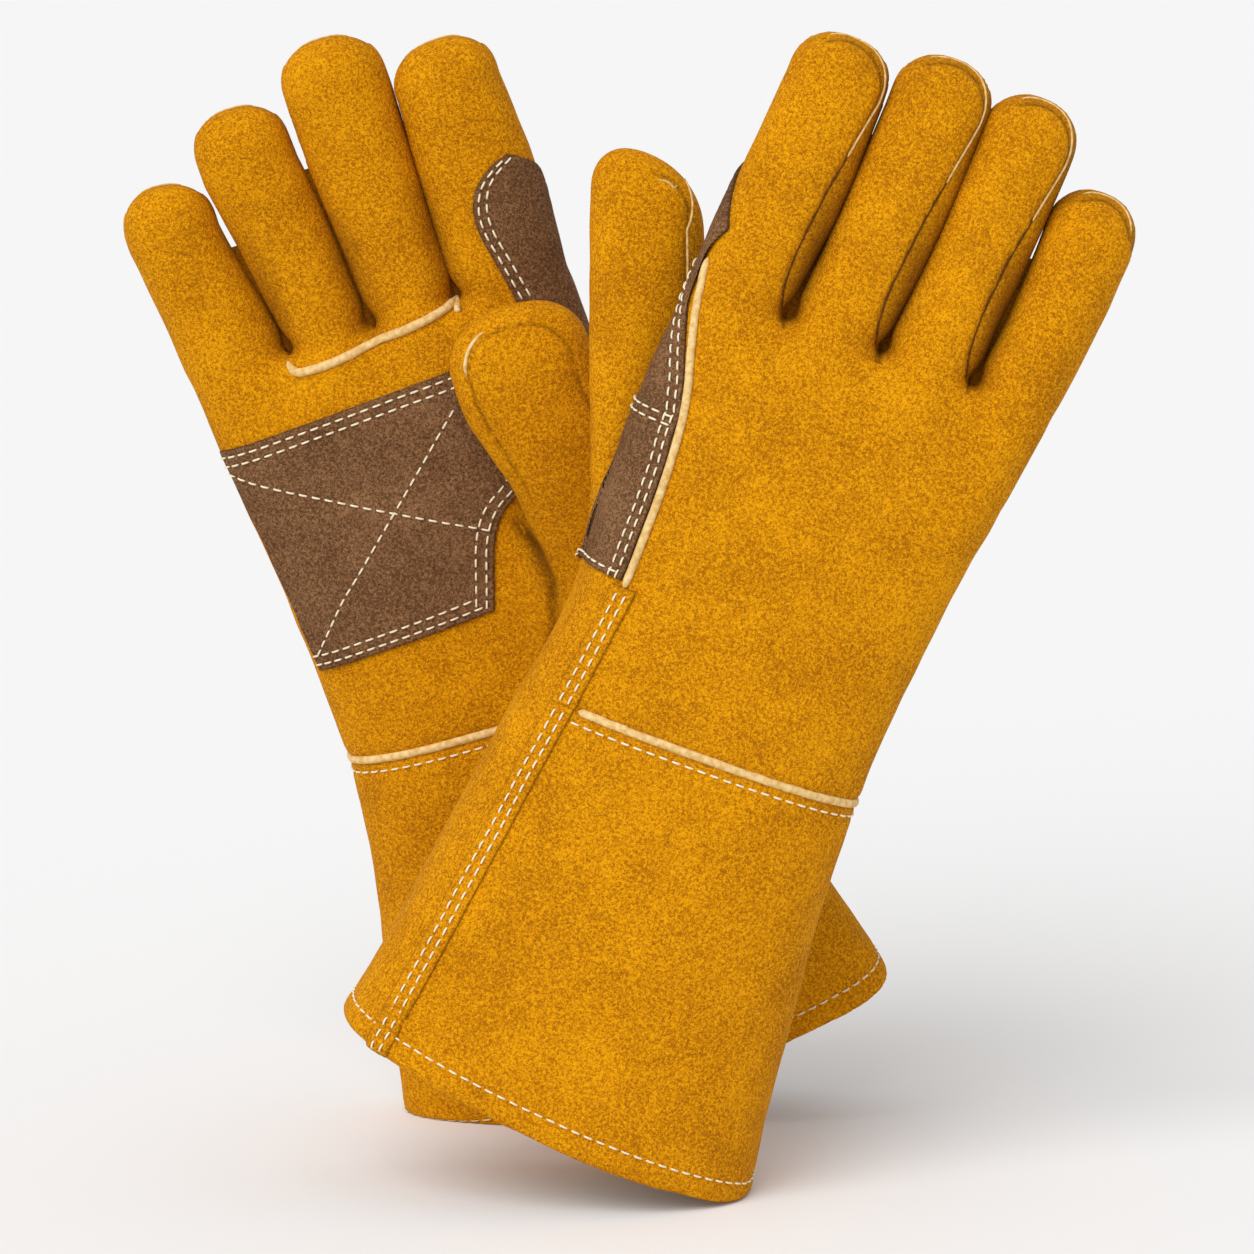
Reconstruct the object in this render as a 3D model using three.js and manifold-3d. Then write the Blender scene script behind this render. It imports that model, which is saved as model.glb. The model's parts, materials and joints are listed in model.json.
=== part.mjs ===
// A pair of gauntlet welding gloves, both cut for the right hand, standing crossed on their hems.
// Millimetres, +Z up. Each glove is drawn in its own frame: hem at z = 0, fingers pointing up,
// thumb on the +X side, palm facing -Y. It is then leaned over and set down on the floor.

import * as THREE from 'three';
import Module from 'manifold-3d';
import { mergeVertices } from 'three/addons/utils/BufferGeometryUtils.js';

const wasm = await Module();
wasm.setup();

// ---------------------------------------------------------------- driving dimensions

const LEATHER = 2.4; // thickness of the split leather with its seam allowance
const PATCH = 1.8; // reinforcement patches, strips and welts
const GAP = 0.4; // clearance between pieces that are sewn face to face
const LAID_ON = 1; // clearance under a piece laid over a curved panel
const CUFF_LINING = 1.6; // canvas lining of the cuff
const HAND_LINING = 3.0; // fleece lining of the hand

const HEM_HEIGHT = 9; // folded band along the mouth of the cuff
const HEM_SOLE = 3.0; // leather of the band below the edges of the panels
const CUFF_TOP = 139;
const HAND_BOTTOM = 144; // wrist seam lies in the 5 mm between cuff and hand
const HAND_TOP = 298;
const FINGER_BASE = 302.5; // finger seam lies between hand top and finger base

const FINGER_DEPTH = 31;
const FOURCHETTE_WIDTH = 13; // side gusset between finger back and finger front
const THUMB_DEPTH = 32;
const THUMB_CLEARANCE = 5; // between the thumb's root and the palm it swings over

const SEAM_ANGLE = 24; // where the side seam runs, in degrees round from the thumb edge
const FLOOR_CUT = 2.2; // how far the lowest corner of each hem is pressed flat
const ARC_STEPS = 12; // facets round half a section
const CUFF_ROWS = 4; // facets up the cuff
const HAND_ROWS = 6; // facets up the hand

// Heights along the glove, and the outline there. The last number is the squareness of
// the section, 2 for an ellipse and more for a squarer one.
// z, thumb-side half-width, little-side half-width, half-depth, squareness
const NEAR_OUTLINE = [
  [-20, 86, 86, 47, 2.6],
  [0, 82, 82, 44, 2.6],
  [44, 75, 75, 40, 2.5],
  [110, 68, 68, 34, 2.4],
  [143, 63, 67, 31, 2.4],
  [166, 58, 67.5, 29, 2.4],
  [194, 55, 70, 27.5, 2.5],
  [223, 54.5, 74, 26, 2.6],
  [255, 54, 81, 22.5, 2.9],
  [287, 53, 87.5, 18.5, 3.4],
  [305, 53.2, 89, 16, 4],
];
const FAR_OUTLINE = [
  [-20, 102, 102, 32, 2.6],
  [0, 97, 97, 32, 2.6],
  [44, 85, 88, 32, 2.5],
  [90, 75, 79, 32, 2.4],
  [143, 65, 73.5, 31, 2.4],
  [182, 58, 73.6, 28.5, 2.4],
  [223, 58, 77, 26, 2.6],
  [255, 60, 81.5, 22.5, 2.9],
  [287, 60, 83, 18.5, 3.4],
  [305, 59.5, 82, 16, 4],
];

// How each glove stands: lean sideways, lean towards the other glove, place of the hem's
// centre. hemSkew is the slope by which the hem rises to the thumb side. The thumb runs from
// a root to a tip in the glove's own X and Z, stands off from the palm, and tilts towards the
// back of the hand. A finger stands so far across from the middle of the glove.
const FAR_GLOVE = {
  prefix: 'far_',
  outline: FAR_OUTLINE,
  turn: 0,
  leanSide: 17.4,
  leanIn: 5.5,
  hemAcross: 8,
  hemBack: 62,
  hemSkew: 0,
  thumbRoot: [40, 172],
  thumbTip: [37, 289],
  thumbWidth: 50,
  thumbStandoff: 11,
  thumbTilt: -2,
  fingers: [
    { name: 'index', across: 40.5, width: 37, splay: -1, length: 91 },
    { name: 'middle', across: 3, width: 32.5, splay: -2, length: 104 },
    { name: 'ring', across: -30.5, width: 32.5, splay: -8, length: 90 },
    { name: 'little', across: -66, width: 32.5, splay: -8.5, length: 72 },
  ],
};
const NEAR_GLOVE = {
  prefix: 'near_',
  outline: NEAR_OUTLINE,
  turn: 180,
  leanSide: 20.2,
  leanIn: 0.5,
  hemAcross: -28,
  hemBack: -62,
  hemSkew: 0.078,
  thumbRoot: [36, 186],
  thumbTip: [88, 337],
  thumbWidth: 43,
  thumbStandoff: 2,
  thumbTilt: 5,
  fingers: [
    { name: 'index', across: 36.5, width: 34.5, splay: -3, length: 101 },
    { name: 'middle', across: 0.8, width: 34.5, splay: -4, length: 105 },
    { name: 'ring', across: -35, width: 34, splay: -5, length: 102 },
    { name: 'little', across: -71.5, width: 34, splay: -4.7, length: 78 },
  ],
};

const SUEDE = { color: '#d9920f', roughness: 0.92, metalness: 0 };
const SUEDE_SIDE = { color: '#b87208', roughness: 0.94, metalness: 0 };
const BROWN_SUEDE = { color: '#6e4e30', roughness: 0.95, metalness: 0 };
const WELT = { color: '#e3bf7c', roughness: 0.8, metalness: 0 };
const CANVAS = { color: '#d8cbb0', roughness: 0.95, metalness: 0 };
const FLEECE = { color: '#e9e2d2', roughness: 1, metalness: 0 };

const radians = THREE.MathUtils.degToRad;

// ---------------------------------------------------------------- geometry helpers

// Smooth values between the rows of an outline, read at a height.
function smoothOutline(outline) {
  const heights = outline.map((row) => row[0]);
  const values = outline.flatMap((row) => row.slice(1));
  const width = outline[0].length - 1;
  const interpolant = new THREE.CubicInterpolant(heights, values, width, new Float64Array(width));
  return (z) => interpolant.evaluate(z);
}

// A point of a glove's section at height z. The angle runs from the thumb edge (0) over
// the back (90) to the little-finger edge (180) and the palm (270).
function sectionPoint(profile, z, angle, offset) {
  const [thumbHalf, littleHalf, halfDepth, squareness] = profile(z);
  const power = 2 / squareness;
  const place = (degrees) => {
    const c = Math.cos(radians(degrees));
    const s = Math.sin(radians(degrees));
    const half = c > 0 ? thumbHalf : littleHalf;
    return new THREE.Vector2(
      half * Math.sign(c) * Math.abs(c) ** power,
      halfDepth * Math.sign(s) * Math.abs(s) ** power,
    );
  };
  const step = 0.5;
  const tangent = place(angle + step).sub(place(angle - step)).normalize();
  const point = place(angle).add(new THREE.Vector2(tangent.y, -tangent.x).multiplyScalar(offset));
  const skew = profile.hemSkew * Math.max(0, 1 - z / CUFF_TOP);
  return new THREE.Vector3(point.x, point.y, z + skew * point.x);
}

// The section angle, on the palm or the back, where the surface lies at a given x.
function angleAtX(profile, z, x, onPalm) {
  const [thumbHalf, littleHalf, , squareness] = profile(z);
  const half = x > 0 ? thumbHalf : littleHalf;
  const share = Math.min(1, Math.abs(x) / half) ** (squareness / 2);
  const angle = THREE.MathUtils.radToDeg(Math.acos(Math.sign(x) * share));
  return onPalm ? 360 - angle : angle;
}

// A closed body between an outer and an inner grid of points. place(row, column, side)
// gives the point, with side 0 on the outer grid and 1 on the inner one.
function skin(rows, columns, place, wraps = false) {
  const positions = [];
  for (let side = 0; side < 2; side += 1) {
    for (let row = 0; row <= rows; row += 1) {
      for (let column = 0; column <= columns; column += 1) {
        const at = wraps && column === columns ? 0 : column;
        positions.push(...place(row / rows, at / columns, side).toArray());
      }
    }
  }
  const id = (row, column, side) => (side * (rows + 1) + row) * (columns + 1) + column;
  const index = [];
  const quad = (a, b, c, d) => index.push(a, b, c, a, c, d);
  for (let row = 0; row < rows; row += 1) {
    for (let column = 0; column < columns; column += 1) {
      quad(id(row, column, 0), id(row, column + 1, 0), id(row + 1, column + 1, 0), id(row + 1, column, 0));
      quad(id(row, column, 1), id(row + 1, column, 1), id(row + 1, column + 1, 1), id(row, column + 1, 1));
    }
  }
  for (let column = 0; column < columns; column += 1) {
    quad(id(0, column, 0), id(0, column, 1), id(0, column + 1, 1), id(0, column + 1, 0));
    quad(id(rows, column, 0), id(rows, column + 1, 0), id(rows, column + 1, 1), id(rows, column, 1));
  }
  for (let row = 0; row < rows && !wraps; row += 1) {
    quad(id(row, 0, 0), id(row + 1, 0, 0), id(row + 1, 0, 1), id(row, 0, 1));
    quad(id(row, columns, 0), id(row, columns, 1), id(row + 1, columns, 1), id(row + 1, columns, 0));
  }
  const geometry = new THREE.BufferGeometry();
  geometry.setAttribute('position', new THREE.Float32BufferAttribute(positions, 3));
  geometry.setIndex(index);
  return facingOut(mergeVertices(geometry, 1e-3));
}

// Drops triangles that have shrunk to a line, and turns the body's faces outwards.
function facingOut(geometry) {
  const position = geometry.getAttribute('position');
  const corners = [0, 1, 2].map(() => new THREE.Vector3());
  const kept = [];
  let volume = 0;
  for (let i = 0; i < geometry.index.count; i += 3) {
    const triangle = [0, 1, 2].map((k) => geometry.index.getX(i + k));
    if (new Set(triangle).size < 3) continue;
    triangle.forEach((vertex, k) => corners[k].fromBufferAttribute(position, vertex));
    volume += corners[0].dot(corners[1].clone().cross(corners[2]));
    kept.push(...triangle);
  }
  if (volume < 0) {
    for (let i = 0; i < kept.length; i += 3) {
      [kept[i], kept[i + 1]] = [kept[i + 1], kept[i]];
    }
  }
  geometry.setIndex(kept);
  return geometry;
}

function toManifold(geometry) {
  const merged = mergeVertices(geometry, 1e-3);
  return new wasm.Manifold(new wasm.Mesh({
    numProp: 3,
    vertProperties: new Float32Array(merged.getAttribute('position').array),
    triVerts: new Uint32Array(merged.index.array),
  }));
}

function plainGeometry(source) {
  const geometry = source.clone();
  geometry.deleteAttribute('normal');
  geometry.deleteAttribute('uv');
  return mergeVertices(geometry, 1e-3);
}

// The body that is left when the tool bodies are taken out of a geometry.
function cutAway(geometry, tools) {
  const solid = tools.reduce(
    (left, tool) => left.subtract(toManifold(tool)),
    toManifold(geometry),
  );
  const mesh = solid.getMesh();
  const result = new THREE.BufferGeometry();
  result.setAttribute('position', new THREE.Float32BufferAttribute(mesh.vertProperties, 3));
  result.setIndex(Array.from(mesh.triVerts));
  return result;
}

// A piece of shell that follows the glove's section between two heights and two angles.
function shellPiece(profile, { from, to, rows, start, end, columns, offset, thickness, wraps }) {
  return skin(rows, columns, (v, u, side) => {
    const z = THREE.MathUtils.lerp(from, to, v);
    const first = typeof start === 'function' ? start(z) : start;
    const last = typeof end === 'function' ? end(z) : end;
    const angle = THREE.MathUtils.lerp(first, last, u);
    return sectionPoint(profile, z, angle, offset - (side ? thickness : 0));
  }, wraps);
}

// Half-width, dome height and distance along a stall (finger or thumb) at a share of its
// length. Two thirds of the rows run up the straight part, the rest go round the tip.
function stallRow(share, width, depth, length) {
  const tip = width / 2;
  const straight = length - tip;
  const turn = 0.6;
  if (share <= turn) {
    return { half: width / 2, dome: depth, along: (straight * share) / turn };
  }
  const angle = ((share - turn) / (1 - turn)) * (Math.PI / 2);
  const shrink = share === 1 ? 0 : Math.cos(angle);
  return { half: (width / 2) * shrink, dome: depth * shrink ** 0.75, along: straight + tip * Math.sin(angle) };
}

// One domed leather half of a stall, standing on the plane y = base, with its root at z = 0.
function stallHalf({ width, length, base, dome, wall, towards }) {
  return skin(8, 6, (v, u, side) => {
    const inset = side ? wall : 0;
    const row = stallRow(v, width - 2 * (inset ? inset + GAP : 0), dome - inset, length - inset);
    const across = Math.cos(Math.PI * (1 - u));
    const height = Math.sin(Math.PI * (1 - u)) ** 0.8;
    return new THREE.Vector3(row.half * across, towards * (base + row.dome * height), row.along);
  });
}

// The side gusset of a finger: one strip up one side, round the tip and down the other.
function fourchette({ width, length, half, wall }) {
  return skin(1, 18, (v, u, side) => {
    const inset = side ? wall : 0;
    const share = 1 - Math.abs(2 * u - 1);
    const row = stallRow(share, width - 2 * inset, 0, length - inset);
    return new THREE.Vector3(row.half * Math.sign(u - 0.5), (2 * v - 1) * half, row.along);
  });
}

// ---------------------------------------------------------------- one glove

function buildGlove(glove) {
  const group = new THREE.Group();
  const profile = smoothOutline(glove.outline);
  profile.hemSkew = glove.hemSkew;

  group.rotation.order = 'ZXY';
  group.rotation.set(radians(glove.leanIn), radians(-glove.leanSide), radians(glove.turn));
  group.position.set(glove.hemAcross, glove.hemBack, 0);
  group.updateMatrixWorld(true);

  const add = (name, geometry, finish) => {
    geometry.computeVertexNormals();
    const mesh = new THREE.Mesh(geometry, new THREE.MeshStandardMaterial(finish));
    mesh.name = glove.prefix + name;
    group.add(mesh);
    return mesh;
  };

  // The hem stands on its lowest corner, which is pressed flat by FLOOR_CUT.
  const lowest = Math.min(...Array.from({ length: 360 }, (_, angle) => (
    sectionPoint(profile, 0, angle, PATCH + GAP).applyMatrix4(group.matrixWorld).z
  )));
  group.position.z = -lowest - FLOOR_CUT;
  group.updateMatrixWorld(true);
  const floorBlock = plainGeometry(new THREE.BoxGeometry(600, 600, 60).translate(0, 0, -30));
  floorBlock.applyMatrix4(group.matrixWorld.clone().invert());

  addCuff(add, profile, floorBlock);
  addHand(add, profile, glove);
  glove.fingers.forEach((finger) => addFinger(add, finger));
  addThumb(add, profile, glove);
  return group;
}

function addCuff(add, profile, floorBlock) {
  const panel = { from: HEM_SOLE, to: CUFF_TOP, rows: CUFF_ROWS, columns: ARC_STEPS, offset: 0, thickness: LEATHER };
  add('cuff_back_panel', shellPiece(profile, { ...panel, start: 0.4, end: 179.6 }), SUEDE);
  add('cuff_palm_panel', shellPiece(profile, { ...panel, start: 180.4, end: 359.6 }), SUEDE);
  add('cuff_lining', shellPiece(profile, {
    from: HEM_SOLE, to: CUFF_TOP, rows: CUFF_ROWS, start: 0, end: 360, columns: 2 * ARC_STEPS,
    offset: -LEATHER - GAP, thickness: CUFF_LINING, wraps: true,
  }), CANVAS);

  // Folded hem: an outer wall, a sole under the panels' edges and an inner wall.
  const inside = -LEATHER - GAP - CUFF_LINING - GAP;
  const foldSection = [
    [PATCH + GAP, 0], [PATCH + GAP, HEM_HEIGHT], [GAP, HEM_HEIGHT], [GAP, HEM_SOLE - GAP],
    [inside, HEM_SOLE - GAP], [inside, HEM_HEIGHT], [inside - PATCH, HEM_HEIGHT], [inside - PATCH, 0],
  ];
  const hem = sweepRound(profile, foldSection, 2 * ARC_STEPS);
  add('hem_band', cutAway(hem, [floorBlock]), SUEDE);

  add('cuff_seam_strip', shellPiece(profile, {
    from: HEM_HEIGHT + GAP, to: CUFF_TOP - 7, rows: 5, start: SEAM_ANGLE - 9, end: SEAM_ANGLE + 5,
    columns: 2, offset: LAID_ON + PATCH, thickness: PATCH,
  }), SUEDE);
  add('wrist_welt', shellPiece(profile, {
    from: CUFF_TOP - 5, to: CUFF_TOP, rows: 1, start: 0, end: 360, columns: 2 * ARC_STEPS,
    offset: GAP + PATCH, thickness: PATCH, wraps: true,
  }), WELT);
}

// A closed section of (offset, z) points carried once round the glove's outline.
function sweepRound(profile, section, steps) {
  const positions = [];
  const index = [];
  const count = section.length;
  for (let step = 0; step < steps; step += 1) {
    section.forEach(([offset, z]) => {
      positions.push(...sectionPoint(profile, z, (360 * step) / steps, offset).toArray());
    });
  }
  for (let step = 0; step < steps; step += 1) {
    const next = (step + 1) % steps;
    for (let corner = 0; corner < count; corner += 1) {
      const after = (corner + 1) % count;
      const a = step * count + corner;
      const b = next * count + corner;
      const c = next * count + after;
      const d = step * count + after;
      index.push(a, b, c, a, c, d);
    }
  }
  const geometry = new THREE.BufferGeometry();
  geometry.setAttribute('position', new THREE.Float32BufferAttribute(positions, 3));
  geometry.setIndex(index);
  return facingOut(geometry);
}

function addHand(add, profile, glove) {
  const panel = { from: HAND_BOTTOM, to: HAND_TOP, rows: HAND_ROWS, columns: ARC_STEPS, offset: 0, thickness: LEATHER };
  const hole = thumbHole(glove);
  add('hand_back_panel', shellPiece(profile, { ...panel, start: 0.4, end: 179.6 }), SUEDE);
  add('palm_panel', cutAway(shellPiece(profile, { ...panel, start: 180.4, end: 359.6 }), [hole]), SUEDE);
  add('hand_lining', cutAway(shellPiece(profile, {
    from: HAND_BOTTOM, to: HAND_TOP, rows: HAND_ROWS, start: 0, end: 360, columns: 2 * ARC_STEPS,
    offset: -LEATHER - GAP, thickness: HAND_LINING, wraps: true,
  }), [hole]), FLEECE);

  // Palm reinforcement, with its thumb-side edge scooped out round the thumb's root.
  const patchBottom = 184;
  const patchTop = 276;
  const scoopTop = 236;
  const patchEdge = (z) => {
    const share = THREE.MathUtils.clamp((z - patchBottom) / (scoopTop - patchBottom), 0, 1);
    return THREE.MathUtils.lerp(-6, 44, share ** 3);
  };
  add('palm_patch', cutAway(shellPiece(profile, {
    from: patchBottom, to: patchTop, rows: 4, start: 184, columns: 16,
    end: (z) => angleAtX(profile, z, patchEdge(z), true), offset: LAID_ON + PATCH, thickness: PATCH,
  }), [hole]), BROWN_SUEDE);

  const wrap = { rows: 3, columns: 8, start: -20, end: SEAM_ANGLE - 3, offset: LAID_ON + PATCH, thickness: PATCH };
  add('side_patch', shellPiece(profile, { ...wrap, from: 238, to: HAND_TOP - 1 }), BROWN_SUEDE);
  add('edge_welt', shellPiece(profile, {
    from: 192, to: HAND_TOP - 1, rows: 4, start: SEAM_ANGLE - 1, end: SEAM_ANGLE + 3, columns: 1,
    offset: LAID_ON + PATCH, thickness: PATCH,
  }), WELT);
  add('hand_seam_strip', shellPiece(profile, {
    from: HAND_BOTTOM + 1, to: 190, rows: 2, start: SEAM_ANGLE - 9, end: SEAM_ANGLE + 5, columns: 2,
    offset: LAID_ON + PATCH, thickness: PATCH,
  }), SUEDE);
  const weltHeight = HAND_TOP - 5;
  add('finger_base_welt', shellPiece(profile, {
    from: weltHeight - 3, to: weltHeight, rows: 1, columns: 6,
    start: angleAtX(profile, weltHeight, -54, true), end: angleAtX(profile, weltHeight, 17, true),
    offset: LAID_ON + PATCH, thickness: PATCH,
  }), WELT);
}

// The body taken out of palm and lining where the thumb's stall is sewn in.
function thumbHole(glove) {
  const [x, z] = glove.thumbRoot;
  const radius = 16.5;
  const hole = new THREE.CylinderGeometry(radius, radius, 60, 16);
  hole.scale(1, 1, 1.25);
  hole.translate(Math.min(x + 3, 26), -34, z + 22);
  return plainGeometry(hole);
}

function addFinger(add, { name, across, width, splay, length }) {
  const half = FOURCHETTE_WIDTH / 2;
  const stall = { width, length, base: half + GAP, dome: FINGER_DEPTH / 2 - half, wall: LEATHER };
  const place = (part, geometry, finish) => {
    const mesh = add(`${name}_${part}`, geometry, finish);
    mesh.position.set(across, 0, FINGER_BASE);
    mesh.rotation.y = radians(splay);
  };
  place('back', stallHalf({ ...stall, towards: 1 }), SUEDE);
  place('front', stallHalf({ ...stall, towards: -1 }), SUEDE);
  place('fourchette', fourchette({ width, length, half, wall: LEATHER }), SUEDE_SIDE);
  if (name === 'index') {
    // Brown patch up the thumb side of the index finger, over the gusset.
    place('patch', skin(4, 4, (v, u, side) => {
      const reach = width / 2 + GAP + (side ? 0 : PATCH);
      const y = THREE.MathUtils.lerp(-half, half, u);
      return new THREE.Vector3(reach, y, THREE.MathUtils.lerp(1, 43, v));
    }), BROWN_SUEDE);
  }
}

// The thumb's two leather halves and the welt between them, cut clear of the palm.
function addThumb(add, profile, glove) {
  const root = new THREE.Vector2(...glove.thumbRoot);
  const tip = new THREE.Vector2(...glove.thumbTip);
  const along = tip.clone().sub(root);
  const length = along.length();
  const dome = THUMB_DEPTH / 2 - 1.2;
  const stall = { width: glove.thumbWidth, length, base: 1.2, dome, wall: LEATHER };
  const welt = fourchette({ width: glove.thumbWidth, length, half: 0.8, wall: LEATHER });

  const placement = new THREE.Matrix4().makeRotationY(Math.atan2(along.x, along.y));
  placement.multiply(new THREE.Matrix4().makeRotationX(radians(-glove.thumbTilt)));
  const palmDepth = -sectionPoint(profile, (root.y + tip.y) / 2, 270, 0).y;
  placement.setPosition(root.x, -palmDepth - glove.thumbStandoff, root.y);

  // The hand's own volume, grown by the clearance, from below the root to past the tip.
  const hand = sweepSolid(profile, HAND_BOTTOM - 20, HAND_TOP + 4, THUMB_CLEARANCE);
  const pieces = [
    ['thumb_back', stallHalf({ ...stall, towards: 1 }), SUEDE],
    ['thumb_front', stallHalf({ ...stall, towards: -1 }), SUEDE],
    ['thumb_welt', welt, WELT],
  ];
  pieces.forEach(([part, geometry, finish]) => {
    geometry.applyMatrix4(placement);
    add(part, cutAway(geometry, [hand]), finish);
  });
}

// The glove's outline as one solid between two heights, grown outwards by an offset.
function sweepSolid(profile, from, to, offset) {
  const rows = 12;
  const columns = 2 * ARC_STEPS;
  const positions = [];
  for (let row = 0; row <= rows; row += 1) {
    const z = THREE.MathUtils.lerp(from, to, row / rows);
    for (let column = 0; column < columns; column += 1) {
      positions.push(...sectionPoint(profile, z, (360 * column) / columns, offset).toArray());
    }
  }
  positions.push(0, 0, from, 0, 0, to);
  const bottom = (rows + 1) * columns;
  const top = bottom + 1;
  const index = [];
  for (let column = 0; column < columns; column += 1) {
    const next = (column + 1) % columns;
    for (let row = 0; row < rows; row += 1) {
      const a = row * columns + column;
      const b = row * columns + next;
      index.push(a, b, b + columns, a, b + columns, a + columns);
    }
    index.push(bottom, next, column, top, rows * columns + column, rows * columns + next);
  }
  const geometry = new THREE.BufferGeometry();
  geometry.setAttribute('position', new THREE.Float32BufferAttribute(positions, 3));
  geometry.setIndex(index);
  return facingOut(geometry);
}

// ---------------------------------------------------------------- the pair

const pair = new THREE.Group();
[FAR_GLOVE, NEAR_GLOVE].forEach((glove) => pair.add(buildGlove(glove)));

// The middle of the pair's footprint is the origin, and the floor is z = 0.
const middle = new THREE.Box3().setFromObject(pair, true).getCenter(new THREE.Vector3());
pair.position.set(-middle.x, -middle.y, 0);
pair.updateMatrixWorld(true);

export default pair;
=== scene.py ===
"""Pair of gauntlet welding gloves in gold split suede, crossed and standing on their hems.

Each glove is drawn in its own frame in millimetres: hem at z = 0, fingers up, thumb on the +X
side, palm facing -Y. The joints of its wrist and thumb say where that frame stands.
"""
import json
import math

import bpy
import numpy as np
from bpy.props import FloatProperty, FloatVectorProperty, PointerProperty
from mathutils import Matrix, Vector, noise
from mathutils.bvhtree import BVHTree


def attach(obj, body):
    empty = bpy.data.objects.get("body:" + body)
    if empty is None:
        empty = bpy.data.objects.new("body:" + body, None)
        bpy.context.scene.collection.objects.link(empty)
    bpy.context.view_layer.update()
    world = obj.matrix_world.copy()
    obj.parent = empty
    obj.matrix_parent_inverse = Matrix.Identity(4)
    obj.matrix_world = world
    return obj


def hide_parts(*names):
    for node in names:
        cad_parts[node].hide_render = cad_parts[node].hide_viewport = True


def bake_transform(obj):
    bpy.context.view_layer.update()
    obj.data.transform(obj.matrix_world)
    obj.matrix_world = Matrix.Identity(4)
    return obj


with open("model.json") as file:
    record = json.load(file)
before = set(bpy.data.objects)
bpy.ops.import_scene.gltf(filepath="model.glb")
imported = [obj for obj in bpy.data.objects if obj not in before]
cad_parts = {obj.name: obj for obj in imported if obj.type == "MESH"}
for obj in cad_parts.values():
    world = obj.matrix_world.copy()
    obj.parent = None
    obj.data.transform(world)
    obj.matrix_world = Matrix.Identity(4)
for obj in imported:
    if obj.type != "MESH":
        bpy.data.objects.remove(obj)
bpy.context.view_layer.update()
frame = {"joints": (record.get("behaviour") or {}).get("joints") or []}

bl_info = {
    "name": "Welding Gloves",
    "version": (1, 0, 0),
    "blender": (4, 5, 0),
    "location": "View3D > Sidebar > Gloves",
    "description": "Builds a crossed pair of gauntlet welding gloves",
    "category": "Add Mesh",
}

MM = 0.001
WRIST_Z = 141.5  # height of the wrist's hinge on a glove
WRIST_BACK = 31.0  # where that hinge's line lies, on the back of the glove
WRIST_SEAM = 143.5  # height of the seam between cuff and hand
CUFF_LENGTH = 139.0  # from the hem to the top of the cuff
ROOT_Z = 302.5  # height of the finger roots
SPREAD_FROM = 262.0  # the hand is drawn wider above here, so that the fingers stand apart
SPREAD_TO = 302.0
SPREAD = 0.14
LITTLE = 3  # the little finger's place in a list of fingers
FINGER_TIP = 17.0  # length of a finger's round tip
THUMB_TIP = 21.0
EDGE_ROUND = 0.9  # share of the half-depth in which the leather turns round an edge

HEM_WALL = 4.6  # leather, fold and lining together
HEM_HALF = 97.0  # half the width of the mouth
HEM_FADE = 70.0  # the curve in the hem's cut is gone at this height
HEM_ROW = 8.2  # height of the stitch row above the hem
WRIST_ROW = 4.6  # how far the stitch row lies below the wrist seam
STRIP_WIDTH = 10.2  # the lapped strip up the side of cuff and hand
STRIP_ROWS = (2.8, 6.4)  # how far in from an edge the two stitch rows lie
PALM_ROWS = (2.6, 6.2)
EDGE_ROWS = (2.2, 5.2)
ROW_LENGTH = 1.2  # between the points of a row laid on the leather
PATCH_STEP = 2.0  # between the points in the middle of a patch

# Outline of each glove: height, thumb-side and little-side half-width, half-depth, squareness.
NEAR_OUTLINE = [
    (-20, 88, 83, 47, 2.6), (0, 84.5, 79.5, 44, 2.6), (44, 76.5, 73.5, 40, 2.5),
    (110, 68, 67.5, 34, 2.4), (143, 63, 66.5, 31, 2.4), (166, 58, 67, 29, 2.4),
    (194, 56, 69, 27.5, 2.5), (223, 57.5, 72.5, 26, 2.6), (255, 59.3, 75.8, 22.5, 2.9),
    (287, 57, 81.5, 18.5, 3.4), (305, 55.5, 83, 16, 4),
]
FAR_OUTLINE = [
    (-20, 102, 104, 32, 2.6), (0, 97, 99, 32, 2.6), (44, 85, 90.5, 32, 2.5),
    (90, 75, 81.5, 32, 2.4), (143, 65, 75.5, 31, 2.4), (182, 58, 76.3, 28.5, 2.4),
    (223, 58, 79.6, 26, 2.6), (255, 60, 83, 22.5, 2.9), (287, 60.5, 84.5, 18.5, 3.4),
    (305, 60, 84, 16, 4),
]
# Hems: slant up to the thumb side, then how far the curved cut dips, bows and leans.
NEAR_HEM = (0.078, 0.0, 6.5, 1.0)
FAR_HEM = (0.0, 8.0, 5.0, 4.5)
# Fingers: name, height of the tip, then (height, little-side edge, thumb-side edge).
NEAR_FINGERS = [
    ("index", 404, [(300, 19.5, 55.6), (345, 14.5, 52.6), (385, 13, 49.5)]),
    ("middle", 409, [(300, -16.5, 18.3), (345, -21.7, 14.0), (385, -23.5, 12.6)]),
    ("ring", 406, [(300, -51.5, -17.5), (345, -55.5, -21.8), (385, -57.5, -23.6)]),
    ("little", 382, [
        (262, -76, -50), (284, -80.3, -52.5), (300, -83, -53), (335, -86.8, -56), (365, -89.4, -57),
    ]),
]
FAR_FINGERS = [
    ("index", 398, [(300, 19.5, 60.5), (345, 20, 62.6), (378, 21.5, 60)]),
    ("middle", 411, [(300, -14, 18.7), (345, -16.5, 19.4), (385, -17.8, 20.4)]),
    ("ring", 396, [(300, -46, -14.8), (345, -53, -18.6), (370, -57, -22.4)]),
    ("little", 376, [
        (262, -81, -47), (284, -83.5, -47), (300, -85.5, -47), (335, -89.3, -54), (355, -91.4, -57.4),
    ]),
]
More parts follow.
